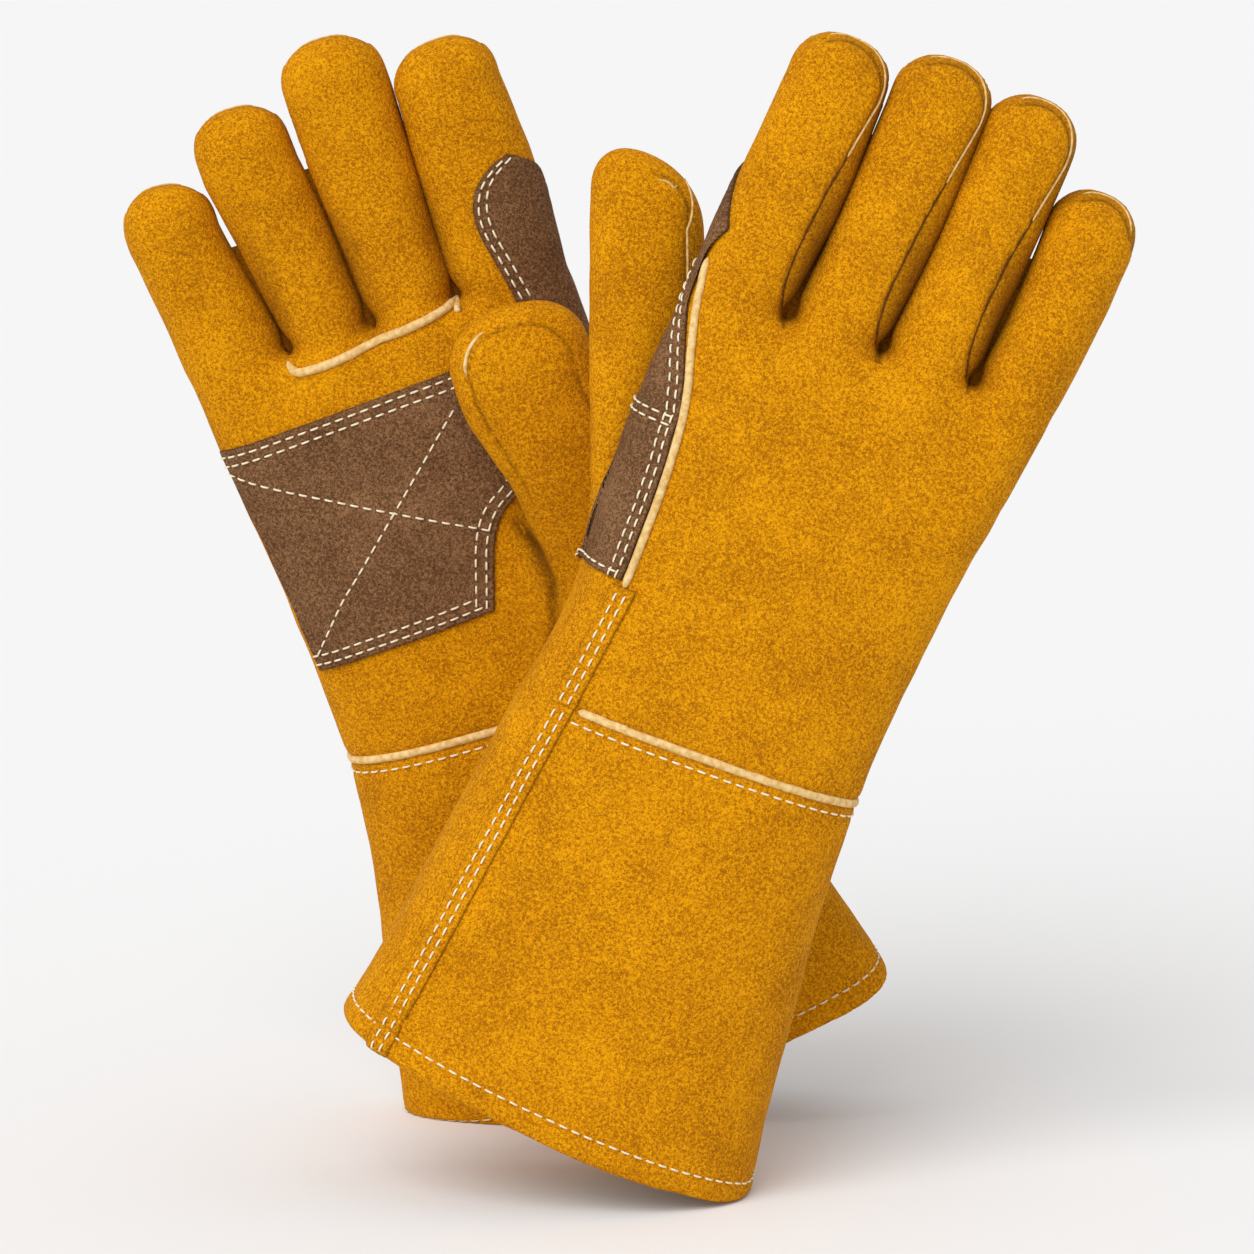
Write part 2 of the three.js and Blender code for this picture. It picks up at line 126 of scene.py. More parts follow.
# Thumbs: height, middle, half-width, and how far in front (-) of the hand's middle plane.
NEAR_THUMB = [
    (172, 31, 19, -14), (215, 43, 20, -20), (262, 59.5, 20, -25), (300, 73, 21, -27), (338, 87, 20, -27),
]
FAR_THUMB = [
    (160, 40, 18, -14), (198, 43, 20.5, -24), (230, 42.5, 22.5, -33), (270, 37.5, 26.5, -39.5),
    (300, 38.5, 26.5, -39.5),
]
# The piping along the thumb-side edge and the fold at the thumb's root, as (x, z).
EDGE_WELT = [(42.1, 190.6), (41.4, 210), (41.1, 228), (42.6, 258), (49.7, 283), (54.2, 306), (55.5, 312)]
THUMB_FOLD = [(16, 219), (21, 206), (22.5, 193), (18.5, 176), (8, 158)]

GLOVES = {}  # the two gloves, once their leather is built


def smoothstep(low, high, value):
    share = np.clip((value - low) / (high - low), 0.0, 1.0)
    return share * share * (3 - 2 * share)


def smooth_min(a, b, radius):
    """The smaller of two distances, with the crease between them filled to a radius."""
    share = np.clip(0.5 + 0.5 * (b - a) / radius, 0, 1)
    return b + (a - b) * share - radius * share * (1 - share)


def spline(table):
    """Reads a table's columns at any value of its first column, as smooth curves."""
    rows = np.array(table, float)
    knots, values = rows[:, 0], rows[:, 1:]
    slopes = np.gradient(values, knots, axis=0)

    def read(at):
        at = np.clip(np.asarray(at, float), knots[0], knots[-1])
        i = np.clip(np.searchsorted(knots, at, side="right") - 1, 0, len(knots) - 2)
        width = knots[i + 1] - knots[i]
        t = ((at - knots[i]) / width)[..., None]
        width = width[..., None]
        result = (
            (2 * t**3 - 3 * t**2 + 1) * values[i] + (t**3 - 2 * t**2 + t) * width * slopes[i]
            + (3 * t**2 - 2 * t**3) * values[i + 1] + (t**3 - t**2) * width * slopes[i + 1]
        )
        return np.moveaxis(result, -1, 0)

    return read


def round_stall(along, across, height, length, half_width, half_depth, tip):
    """Distance-like field of a finger or thumb: straight sides, squarish section, round tip."""
    power = 2.25
    past = np.maximum(along - (length - tip), 0)
    before = np.maximum(-along, 0)
    ratio = (
        np.abs(across / half_width) ** power + np.abs(height / half_depth) ** power
        + (past / tip) ** power + (before / 22) ** power + 1e-9
    ) ** (1 / power)
    return (ratio - 1) * np.minimum(half_width, half_depth)


class Glove:
    """One glove: where it stands, and its shape as a field that is negative inside."""

    def __init__(self, prefix, outline, hem, fingers, thumb, shown_face):
        self.prefix = prefix
        self.outline = spline(outline)
        self.fingers = [(name, tip, spline(edges)) for name, tip, edges in fingers]
        self.roots = [float(edges(ROOT_Z).mean()) for _, _, edges in self.fingers]
        self.hem_skew, self.hem_cut = hem[0], hem[1:]
        self.shown_face = shown_face
        self.thumb = spline(thumb)
        self.thumb_low, self.thumb_high = thumb[0][0], thumb[-1][0]
        joints = {joint["name"]: joint for joint in frame["joints"]}
        wrist = joints[prefix + "wrist_bend"]
        across = -Vector(wrist["axis"]).normalized()
        back = Vector(joints[prefix + "thumb_spread"]["axis"]).normalized()
        self.turn = Matrix((across, back, across.cross(back))).transposed()
        self.origin = Vector(wrist["pos_m"]) - self.turn @ Vector((0, WRIST_BACK, WRIST_Z)) * MM
        self.hand_tree = self.thumb_tree = None

    def world(self, points):
        """Points in metres in the row's frame, from millimetres in the glove's own frame."""
        return np.asarray(points, float) * MM @ np.array(self.turn).T + np.array(self.origin)

    def standing(self, points):
        """World points with the lowest of the hem pressed flat on the floor by the glove's weight."""
        points = self.world(points)
        reach = 0.004  # only points below here are moved, and none of them quite to the floor
        low = points[:, 2] < reach
        points[low, 2] = reach - reach * np.tanh((reach - points[low, 2]) / reach) * 0.98
        return points

    def place(self, x, y, z):
        return tuple(self.world([[x, y, z]])[0])

    def dip(self, x, y):
        """How far the curved cut of the hem hangs below a straight one."""
        front = smoothstep(-12, 22, y * self.shown_face)
        dip, bow, lean = self.hem_cut
        return front * (dip + bow * (1 - (x / HEM_HALF) ** 2) - lean * x / HEM_HALF)

    def above_hem(self, x, y, z):
        slant = self.hem_skew * x * np.clip(1 - z / CUFF_LENGTH, 0, 1)
        return z - slant + self.dip(x, y) * np.clip(1 - z / HEM_FADE, 0, 1)

    def hem(self, x, rise, y=None):
        """The height of a point that is rise above the hem at x."""
        drop = 0.0 if y is None else float(self.dip(x, y)) * (1 - rise / HEM_FADE)
        return (rise + self.hem_skew * x) / (1 + self.hem_skew * x / CUFF_LENGTH) - drop

    def spread_roots(self, z):
        grow = SPREAD * smoothstep(SPREAD_FROM, SPREAD_TO, z)
        return [self.roots[0] + (root - self.roots[0]) * (1 + grow) for root in self.roots]

    def gather(self, x, z, finger=None):
        """Where a point drawn with spread fingers belongs."""
        x, z = np.broadcast_arrays(np.asarray(x, float), np.asarray(z, float))
        spread = self.spread_roots(z)
        result = x.copy()
        for i in range(len(self.roots) - 1):
            high, low = spread[i], spread[i + 1]
            share = (high - x) / (high - low)
            inner = self.roots[i] + (self.roots[i + 1] - self.roots[i]) * share
            result = np.where((share > 0) & (share <= 1), inner, result)
        result = np.where(x < spread[-1], x - spread[-1] + self.roots[-1], result)
        if finger is not None:
            stiff = smoothstep(302, 312, z)
            moved = x - np.choose(finger, spread) + np.choose(finger, self.roots)
            result = result + (moved - result) * stiff
        return result

    def body(self, x, y, z):
        thumb_half, little_half, depth, power = self.outline(z)
        u = np.abs(x) / np.where(x > 0, thumb_half, little_half)
        v = np.abs(y) / depth
        ratio = (u**power + v**power + 1e-9) ** (1 / power)
        slope_u = (u / ratio) ** (power - 1) / np.where(x > 0, thumb_half, little_half)
        slope_v = (v / ratio) ** (power - 1) / depth
        return (ratio - 1) / np.sqrt(slope_u**2 + slope_v**2 + 1e-9)

    def curl(self, index, z):
        share = np.clip((z - ROOT_Z) / (self.fingers[index][1] - ROOT_Z), 0, 1)
        return -6.5 * share**2

    def finger(self, index, x, y, z):
        _, tip, edges = self.fingers[index]
        low, high = edges(z)
        middle = (low + high) / 2 + self.spread_roots(z)[index] - self.roots[index]
        share = np.clip((z - ROOT_Z) / (tip - ROOT_Z), 0, 1)
        inset = 1.0 * (1 - smoothstep(285, 306, z))
        return round_stall(
            z - SPREAD_FROM, x - middle, y - self.curl(index, z), tip - SPREAD_FROM,
            (high - low) / 2 + 0.5 - 1.2 * inset, 16.2 - 1.2 * share, FINGER_TIP,
        )

    def thumb_field(self, x, y, z):
        middle, half, back = self.thumb(z)
        lean = np.sqrt(1 + (self.thumb(z + 1.0)[0] - middle) ** 2)
        return round_stall(
            z - self.thumb_low, (x - middle) / lean, y - back,
            self.thumb_high - self.thumb_low, half, 14.2, THUMB_TIP,
        )

    def hand(self, x, y, z):
        """The glove without its thumb, drawn with spread fingers."""
        body = self.body(self.gather(x, z), y, z) + 0.8 * smoothstep(270, 300, z)
        body = -smooth_min(-body, 300.0 - z, 9)
        for index in range(len(self.fingers)):
            body = smooth_min(body, self.finger(index, x, y, z), 4.5)
        return body

    def thumb_share(self, z):
        return (z - self.thumb_low) / (self.thumb_high - self.thumb_low)

    def field(self, x, y, z):
        hand = self.hand(x, y, z)
        blend = 1.2 + 13 * (1 - smoothstep(0.2, 0.45, self.thumb_share(z)))
        whole = smooth_min(hand, self.thumb_field(x, y, z), blend)
        above = self.above_hem(x, y, z)
        whole = -smooth_min(-whole, above, 3)
        cavity = np.maximum(hand + HEM_WALL, above - 16)
        return -smooth_min(-whole, cavity, 2.4)

    def edge(self, z):
        """The x of the glove's thumb-side edge."""
        high = self.fingers[0][2](z)[1]
        return float(self.outline(z)[0] + (high - self.outline(z)[0]) * smoothstep(292, 306, z))

    def on(self, u, z, face, lift=0.0):
        """A point on the leather and its normal. u is x on the palm (face -1) or back (face 1), and
        goes on round the glove's two edges to the other side as a length."""
        depth = float(self.outline(z)[2]) * EDGE_ROUND
        right = self.edge(z) - depth
        left = -(float(self.outline(z)[1]) - depth)
        if u > right:
            start, over, way = right, (u - right) / depth, 1
        elif u < left:
            start, over, way = left, (left - u) / depth, -1
        else:
            start, over, way = u, 0.0, 1
        if over > math.pi:
            start -= way * (over - math.pi) * depth
            over = math.pi
        direction = Vector((way * math.sin(over), face * math.cos(over), 0))
        return self.cast(self.hand_tree, Vector((start, 0, z)), direction, lift)

    def cast(self, tree, origin, direction, lift=0.0):
        point, normal, _, _ = tree.ray_cast(origin, direction)
        if point is None:
            point, normal, _, _ = tree.find_nearest(origin + direction * 16)
        if normal.dot(direction) < 0:
            normal = -normal
        return point + normal * lift, normal


def surface_nets(field, low, high, step):
    """A mesh of quads over the zero surface of a field, sampled on a grid."""
    axes = [np.arange(low[k], high[k] + step, step) for k in range(3)]
    value = field(axes[0][:, None, None], axes[1][None, :, None], axes[2][None, None, :])
    inside = value < 0
    shape = tuple(n - 1 for n in value.shape)
    total = np.zeros(shape + (3,), np.float32)
    count = np.zeros(shape, np.float32)

    def corner(array, offset):
        return array[tuple(slice(offset[k], offset[k] + shape[k]) for k in range(3))]

    for start in [(a, b, c) for a in (0, 1) for b in (0, 1) for c in (0, 1)]:
        for axis in range(3):
            if start[axis]:
                continue
            end = tuple(start[k] + (k == axis) for k in range(3))
            crossing = corner(inside, start) != corner(inside, end)
            first, second = corner(value, start), corner(value, end)
            share = np.where(crossing, first / np.where(crossing, first - second, 1), 0)
            for k in range(3):
                total[..., k] += np.where(crossing, start[k] + (share if k == axis else 0), 0)
            count += crossing
    used = count > 0
    number = np.full(shape, -1, np.int64)
    number[used] = np.arange(used.sum())
    points = (np.argwhere(used) + total[used] / count[used][:, None]) * step + np.array(low, float)
    quads = []
    for axis in range(3):
        one, two = (axis + 1) % 3, (axis + 2) % 3
        lower, upper = [slice(1, -1)] * 3, [slice(1, -1)] * 3
        lower[axis], upper[axis] = slice(0, -1), slice(1, None)
        first, second = inside[tuple(lower)], inside[tuple(upper)]
        for outward, mask in ((True, first & ~second), (False, ~first & second)):
            where = np.argwhere(mask)
            where[:, one] += 1
            where[:, two] += 1
            ring = []
            for a, b in ((-1, -1), (0, -1), (0, 0), (-1, 0)):
                cell = where.copy()
                cell[:, one] += a
                cell[:, two] += b
                ring.append(number[cell[:, 0], cell[:, 1], cell[:, 2]])
            quads.append(np.stack(ring if outward else ring[::-1], axis=1))
    return points, np.concatenate(quads)


def settle(points, field, rounds=3):
    """Moves points along the field's slope on to its zero surface."""
    reach = 0.4
    for _ in range(rounds):
        x, y, z = points.T
        slope = np.stack([
            field(x + reach, y, z) - field(x - reach, y, z),
            field(x, y + reach, z) - field(x, y - reach, z),
            field(x, y, z + reach) - field(x, y, z - reach),
        ], axis=1) / (2 * reach)
        size = np.maximum((slope**2).sum(axis=1), 0.05)
        move = slope * (field(x, y, z) / size)[:, None]
        points = points - np.clip(move, -1.5, 1.5)
    return points


def vertex_normals(points, quads):
    diagonal = np.cross(points[quads[:, 2]] - points[quads[:, 0]], points[quads[:, 3]] - points[quads[:, 1]])
    normals = np.zeros_like(points)
    for k in range(4):
        np.add.at(normals, quads[:, k], diagonal)
    return normals / np.maximum(np.linalg.norm(normals, axis=1), 1e-12)[:, None]


def path_distance(points, path):
    """How far flat points are from a path, and on which side of it (positive to its right)."""
    best = np.full(len(points), 1e9)
    side = np.zeros(len(points))
    for a, b in zip(path[:-1], path[1:]):
        a, b = np.array(a, float), np.array(b, float)
        along = b - a
        share = np.clip((points - a) @ along / (along @ along), 0, 1)
        gap = points - (a + share[:, None] * along)
        size = np.linalg.norm(gap, axis=1)
        closer = size < best
        best = np.where(closer, size, best)
        side = np.where(closer, np.sign(gap[:, 0] * along[1] - gap[:, 1] * along[0]), side)
    return best, side


def wrinkles(points, size, seed):
    offset = Vector((seed, 3.7, 1.3))
    return np.array([noise.noise(Vector(p) / size + offset) for p in points])


# --- making pieces -----------------------------------------------------------------------------


def linear(text, tint=(1.0, 1.0, 1.0)):
    """A colour written as sRGB hex, as the linear RGBA that shaders take, times a tint."""
    parts = [int(text[i:i + 2], 16) / 255 for i in (1, 3, 5)]
    plain_parts = [c / 12.92 if c <= 0.04045 else ((c + 0.055) / 1.055) ** 2.4 for c in parts]
    return [c * share for c, share in zip(plain_parts, tint)] + [1.0]


def add_piece(glove, name, points, faces, material, part, nodes=(), shade=None):
    """A piece from points in the glove's own frame. A piece on the hand hangs from the hand's body; pieces on
    the other parts are baked where they stand.
    """
    points = np.asarray(points, float)
    mesh = bpy.data.meshes.new(glove.prefix + name)
    mesh.from_pydata(glove.standing(points).tolist(), [], [list(map(int, face)) for face in faces])
    mesh.update()
    mesh.polygons.foreach_set("use_smooth", np.ones(len(mesh.polygons), bool))
    rest = mesh.attributes.new("rest", "FLOAT_VECTOR", "POINT")
    rest.data.foreach_set("vector", points.astype(np.float32).ravel())
    tone = mesh.attributes.new("shade", "FLOAT", "POINT")
    tones = np.zeros(len(points)) if shade is None else shade
    tone.data.foreach_set("value", np.asarray(tones, np.float32))
    mesh.materials.append(material)
    piece = bpy.data.objects.new(glove.prefix + name, mesh)
    bpy.context.scene.collection.objects.link(piece)
    prefix = glove.prefix
    if part == "cuff":
        glove.place(0, 0, 112)
        glove.place(0, 0, 140)
        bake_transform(piece)
    elif part == "hand":
        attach(piece, prefix + "hand")
    elif part == "thumb":
        low = glove.thumb_low + 0.16 * (glove.thumb_high - glove.thumb_low)
        start = [float(v) for v in glove.thumb(low)]
        end = [float(v) for v in glove.thumb(low + 34)]
        glove.place(start[0], start[2], low)
        glove.place(end[0], end[2], low + 34)
        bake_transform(piece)
    else:
        index = [finger[0] for finger in glove.fingers].index(part)
        x = glove.roots[index]
        glove.place(x, 0, 300)
        glove.place(x, 0, 316)
        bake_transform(piece)
    if nodes:
        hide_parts(*[prefix + node for node in nodes])
    return piece


def tube(path, normals, radius, flat, sides, taper):
    """Points and faces of a round cord laid along a path, pressed to flat of its height. Its two
    ends grow thin over taper points."""
    path, normals = np.array(path, float), np.array(normals, float)
    count = len(path)
    along = np.gradient(path, axis=0)
    along /= np.maximum(np.linalg.norm(along, axis=1), 1e-9)[:, None]
    across = np.cross(along, normals)
    across /= np.maximum(np.linalg.norm(across, axis=1), 1e-9)[:, None]
    up = np.cross(across, along)
    ends = np.minimum(np.arange(count), np.arange(count)[::-1]) / taper
    size = radius * np.sqrt(np.clip(1 - (1 - np.clip(ends, 0, 1)) ** 2, 0.02, 1))
    turn = np.linspace(0, 2 * math.pi, sides, endpoint=False)
    ring = across[:, None] * np.cos(turn)[None, :, None] + up[:, None] * np.sin(turn)[None, :, None] * flat
    points = (path[:, None] + ring * size[:, None, None]).reshape(-1, 3)
    faces = [tuple(range(sides))[::-1], tuple((count - 1) * sides + k for k in range(sides))]
    for i in range(0, (count - 1) * sides, sides):
        for k in range(sides):
            m = (k + 1) % sides
            faces.append((i + k, i + m, i + sides + m, i + sides + k))
    return points, faces


def joined(shapes):
    """Several (points, faces) as one."""
    points, faces, start = [], [], 0
    for some, ring in shapes:
        points.append(np.asarray(some, float))
        faces += [tuple(i + start for i in face) for face in ring]
        start += len(some)
    return np.concatenate(points), faces


def run_lengths(path):
    """How far along a path each of its points lies."""
    return np.concatenate([[0], np.cumsum(np.linalg.norm(np.diff(path, axis=0), axis=1))])


def read_path(path, lengths, at):
    """The points of a path that lie at these lengths along it."""
    return np.stack([np.interp(at, lengths, path[:, k]) for k in range(path.shape[1])], axis=1)


def resample(path, step, closed=False):
    """Evenly spaced points along a path."""
    path = np.array(path, float)
    if closed:
        path = np.concatenate([path, path[:1]])
    lengths = run_lengths(path)
    count = max(2, int(round(lengths[-1] / step)) + 1)
    result = read_path(path, lengths, np.linspace(0, lengths[-1], count))
    return result[:-1] if closed else result


def rounded(path, rounds=2):
    """A path with its corners cut, so that it bends softly."""
    path = np.array(path, float)
    for _ in range(rounds):
        before, after = path[:-1], path[1:]
        cut = np.stack([before * 0.75 + after * 0.25, before * 0.25 + after * 0.75], axis=1)
        path = np.concatenate([path[:1], cut.reshape(-1, path.shape[1]), path[-1:]])
    return path


def split(hits):
    """Hits on the leather as a list of points and a list of normals."""
    return [tuple(point) for point, _ in hits], [tuple(normal) for _, normal in hits]


def laid(glove, path, face, lift):
    """A path given as (u, z) laid on the leather: its points and normals."""
    return split([glove.on(u, z, face, lift) for u, z in resample(path, ROW_LENGTH)])


def cast_row(glove, tree, rays, lift):
    """The points and normals where rays, given as origin and direction, come out of the leather."""
    return split([
        glove.cast(tree, Vector(origin), Vector(direction).normalized(), lift) for origin, direction in rays
    ])


def stitches(points, normals, sizes, closed=False):
    """A row of separate stitches along a path that lies on the leather."""
    line = resample(np.concatenate([points, normals], axis=1), 0.6, closed)
    lengths = run_lengths(line[:, :3])
    stitch, thread = sizes.stitch / MM, sizes.thread / MM
    count = int(lengths[-1] / (stitch + sizes.stitch_gap / MM))
    shapes = []
    profile = ((0.0, -0.5), (0.14, 0.25), (0.35, 0.5), (0.65, 0.5), (0.86, 0.25), (1.0, -0.5))
    for i in range(count):
        start = i * lengths[-1] / count + 0.04 * math.sin(i * 12.9)
        spine = read_path(line, lengths, np.array([start + share * stitch for share, _ in profile]))
        up = spine[:, 3:] / np.maximum(np.linalg.norm(spine[:, 3:], axis=1), 1e-9)[:, None]
        rise = np.array([height * thread for _, height in profile])
        shapes.append(tube(spine[:, :3] + up * rise[:, None], up, thread / 2, 0.85, 6, 1))
    return joined(shapes)


def marks(length):
    """Distances across a patch as shares of its length, close together near its two edges."""
    ends = [e for e in (0.0, 0.35, 0.8, 1.5, 2.4, 3.4, 4.6, 6.0) if e < length / 2 - 0.25]
    count = max(2, int((length - 2 * ends[-1]) / PATCH_STEP) + 1)
    middle = np.linspace(ends[-1], length - ends[-1], count)
    return np.array(ends[:-1] + list(middle) + [length - e for e in ends[:-1]][::-1]) / length


def patch(glove, bottom, top, left, right, face, thick, rows):
    """A piece of leather laid on the glove between four border paths in (u, z), with painted shadow
    along its edge. rows holds how far in from the edges its stitching pulls it down."""
    def along(path, shares):
        path = np.array(path, float)
        lengths = run_lengths(path)
        return read_path(path, lengths, shares * lengths[-1])

    def size(path):
        return float(np.linalg.norm(np.diff(np.array(path, float), axis=0), axis=1).sum())

    def rim(array):
        """What an array holds round its border, in order."""
        return list(array[0, :-1]) + list(array[:-1, -1]) + list(array[-1, :0:-1]) + list(array[:0:-1, 0])

    width, height = (size(bottom) + size(top)) / 2, (size(left) + size(right)) / 2
    s, t = marks(width), marks(height)
    low, high, start, end = along(bottom, s), along(top, s), along(left, t), along(right, t)
    S, T = s[None, :, None], t[:, None, None]
    corners = (1 - S) * (1 - T) * low[0] + S * (1 - T) * low[-1] + (1 - S) * T * high[0] + S * T * high[-1]
    flat = (1 - T) * low[None] + T * high[None] + (1 - S) * start[:, None] + S * end[:, None] - corners
    inward = np.minimum(np.minimum(s, 1 - s)[None, :] * width, np.minimum(t, 1 - t)[:, None] * height)
    lift = thick * (0.72 + 0.28 * smoothstep(0, 1.2, inward))
    for row in rows:
        lift = lift - 0.35 * thick * np.exp(-((inward - row) / 0.7) ** 2)
    grid = np.arange(inward.size).reshape(inward.shape)
    points, shade, faces = [], [], []
    for j, i in np.ndindex(grid.shape):
        points.append(tuple(glove.on(flat[j, i, 0], flat[j, i, 1], face, lift[j, i])[0]))
        # painted shadow darkens the patch towards its edge
        shade.append(0.35 * math.exp(-(inward[j, i] / 0.5) ** 2))
    for j, i in np.ndindex(grid.shape[0] - 1, grid.shape[1] - 1):
        faces.append((grid[j, i], grid[j, i + 1], grid[j + 1, i + 1], grid[j + 1, i]))
    border, base = rim(grid), len(points)
    for u, z in rim(flat):
        points.append(tuple(glove.on(u, z, face, -0.8)[0]))
        # painted shadow on the rim that turns under the edge
        shade.append(0.9)
    for k in range(len(border)):
        m = (k + 1) % len(border)
        faces.append((border[k], base + k, base + m, border[m]))
    points = np.array(points)
    first, second, third = (points[i] for i in faces[len(faces) // 3][:3])
    _, outward = glove.on(*flat[flat.shape[0] // 2, flat.shape[1] // 2], face, 0)
    if np.dot(np.cross(second - first, third - second), np.array(outward)) < 0:
        faces = [ring[::-1] for ring in faces]
    return points, faces, np.array(shade)


def patch_piece(glove, name, part, node, borders, face, thick, rows=(), hide="Brown split suede"):
    points, faces, shade = patch(glove, *borders, face, thick, rows)
    add_piece(glove, name, points, faces, material(hide), part, (node,), shade)


def stitch_piece(glove, name, part, rows, sizes):
    """Stitch rows as one piece. Each is a path in (u, z), the face it is on and its lift."""
    points, faces = joined([stitches(*laid(glove, *row), sizes) for row in rows])
    add_piece(glove, name, points, faces, material("Cream sewing thread"), part)


def cord_piece(glove, name, part, line, radius, flat, sides, taper=4, nodes=(), hide="Cream welt leather"):
    """A cord along a line, which is a list of points and one of normals, as one piece."""
    add_piece(glove, name, *tube(*line, radius, flat, sides, taper), material(hide), part, nodes)


# --- materials ---------------------------------------------------------------------------------


def add(tree, kind, inputs=None, **settings):
    """A shader node with its settings and inputs; an input is a value or another node's output."""
    node = tree.nodes.new(kind)
    for name, value in settings.items():
        setattr(node, name, value)
    for name, value in (inputs or {}).items():
        if isinstance(value, bpy.types.NodeSocket):
            tree.links.new(value, node.inputs[name])
        else:
            node.inputs[name].default_value = value
    return node


def ramp(tree, value, colours, tint):
    node = add(tree, "ShaderNodeValToRGB", {"Fac": value})
    places = node.color_ramp.elements
    places[0].position, places[0].color = colours[0][0], linear(colours[0][1], tint)
    places[1].position, places[1].color = colours[-1][0], linear(colours[-1][1], tint)
    for at, colour in colours[1:-1]:
        places.new(at).color = linear(colour, tint)
    return node.outputs["Color"]


def suede(name, tint, colours, seam, nap_height, sheen):
    """Split leather with its nap up: colour that drifts over centimetres and grains over a
    millimetre, a soft glow at grazing angles, and painted shade, darker towards the seam colour where the
    attribute shade is."""
    material = bpy.data.materials.new(name)
    material.use_nodes = True
    tree = material.node_tree
    tree.nodes.clear()
    rest = add(tree, "ShaderNodeAttribute", attribute_name="rest").outputs["Vector"]
    shade = add(tree, "ShaderNodeAttribute", attribute_name="shade").outputs["Fac"]
    noises = {}
    for key, scale, detail in (("blotch", 0.04, 2.0), ("grain", 0.85, 2.0), ("fibre", 1.9, 2.0)):
        noises[key] = add(
            tree, "ShaderNodeTexNoise", {"Vector": rest, "Scale": scale, "Detail": detail, "Roughness": 0.62},
        ).outputs["Fac"]
    tone = add(tree, "ShaderNodeMath", {0: noises["blotch"], 1: 0.14}, operation="MULTIPLY").outputs[0]
    for key, share in (("grain", 0.42), ("fibre", 0.44)):
        inputs = {0: noises[key], 1: share, 2: tone}
        tone = add(tree, "ShaderNodeMath", inputs, operation="MULTIPLY_ADD").outputs[0]
    # painted shade: the colour is mixed towards the seam colour by the attribute shade
    inputs = {0: shade, 6: ramp(tree, tone, colours, tint), 7: linear(seam, tint)}
    darker = add(tree, "ShaderNodeMix", inputs, data_type="RGBA").outputs[2]
    height = add(tree, "ShaderNodeMath", {0: noises["grain"], 1: noises["fibre"]}, operation="ADD").outputs[0]
    bump = add(tree, "ShaderNodeBump", {"Strength": 0.8, "Distance": nap_height * MM, "Height": height})
    surface = add(tree, "ShaderNodeBsdfPrincipled", {
        "Base Color": darker, "Roughness": 0.95, "Specular IOR Level": 0.12, "Normal": bump.outputs["Normal"],
        "Sheen Weight": sheen, "Sheen Roughness": 0.45, "Sheen Tint": linear(colours[-1][1], tint),
    })
    add(tree, "ShaderNodeOutputMaterial", {"Surface": surface.outputs[0]})
    return material


def plain(name, tint, colour, darker, scale, roughness, bump_height, sheen=0.0):
    """A material of one colour with a fine grain of its own: welting, thread, canvas or fleece."""
    material = bpy.data.materials.new(name)
    material.use_nodes = True
    tree = material.node_tree
    tree.nodes.clear()
    rest = add(tree, "ShaderNodeAttribute", attribute_name="rest").outputs["Vector"]
    grain = add(tree, "ShaderNodeTexNoise", {"Vector": rest, "Scale": scale, "Detail": 2.0}).outputs["Fac"]
    tones = ramp(tree, grain, [(0.3, darker), (0.65, colour)], tint)
    bump = add(tree, "ShaderNodeBump", {"Strength": 0.6, "Distance": bump_height * MM, "Height": grain})
    surface = add(tree, "ShaderNodeBsdfPrincipled", {
        "Base Color": tones, "Roughness": roughness, "Specular IOR Level": 0.2,
        "Normal": bump.outputs["Normal"], "Sheen Weight": sheen,
    })
    add(tree, "ShaderNodeOutputMaterial", {"Surface": surface.outputs[0]})
    return material


def material(name):
    """The named material, made the first time it is asked for."""
    if name in bpy.data.materials:
        return bpy.data.materials[name]
    tints = bpy.context.scene.gloves
    # each suede's seam colour is the colour of its painted shade
    if name == "Gold split suede":  # deep ochre, matte, mottled by its nap
        colours = [(0.41, "#A06000"), (0.5, "#C98200"), (0.59, "#EBA205")]
        return suede(name, tints.gold_tint, colours, "#5A3200", 0.5, 0.05)
    if name == "Gold split suede, painted shade":  # the same hide made darker as painted shade, for the gussets between the fingers
        colours = [(0.39, "#744303"), (0.5, "#935905"), (0.61, "#AD6D08")]
        return suede(name, tints.gold_tint, colours, "#3A2002", 0.45, 0.03)
    if name == "Brown split suede":  # cocoa, drier and flatter than the gold
        colours = [(0.41, "#533720"), (0.5, "#724F32"), (0.59, "#946D4A")]
        return suede(name, tints.brown_tint, colours, "#2C1A0B", 0.5, 0.06)
    if name == "Cream welt leather":  # pale smooth piping, a slight waxy shine
        return plain(name, tints.piping_tint, "#EBCB8E", "#CFA45B", 0.5, 0.6, 0.15)
    if name == "Cream sewing thread":  # near-white twisted thread
        return plain(name, tints.thread_tint, "#F8EED6", "#DCC9A0", 2.5, 0.7, 0.1)
    if name == "Painted seam shadow":  # painted shade: a dark cord laid where a finger seam's fold is in shade
        return plain(name, tints.gold_tint, "#6A3D08", "#4A2804", 0.8, 0.95, 0.1)
    if name == "Natural cotton canvas":  # unbleached weave, dull
        return plain(name, tints.lining_tint, "#D8CBB0", "#BFB092", 1.6, 0.95, 0.2)
    # brushed fleece, soft and pale
    return plain(name, tints.lining_tint, "#EEE7D8", "#D3C9B4", 0.9, 1.0, 0.8, 0.3)


# --- the pieces of the gloves --------------------------------------------------------------------


def side_seam(z):
    """The x, on the back, of the seam that runs up the thumb side of cuff and hand."""
    return 43.7 + (145 - z) * 0.146


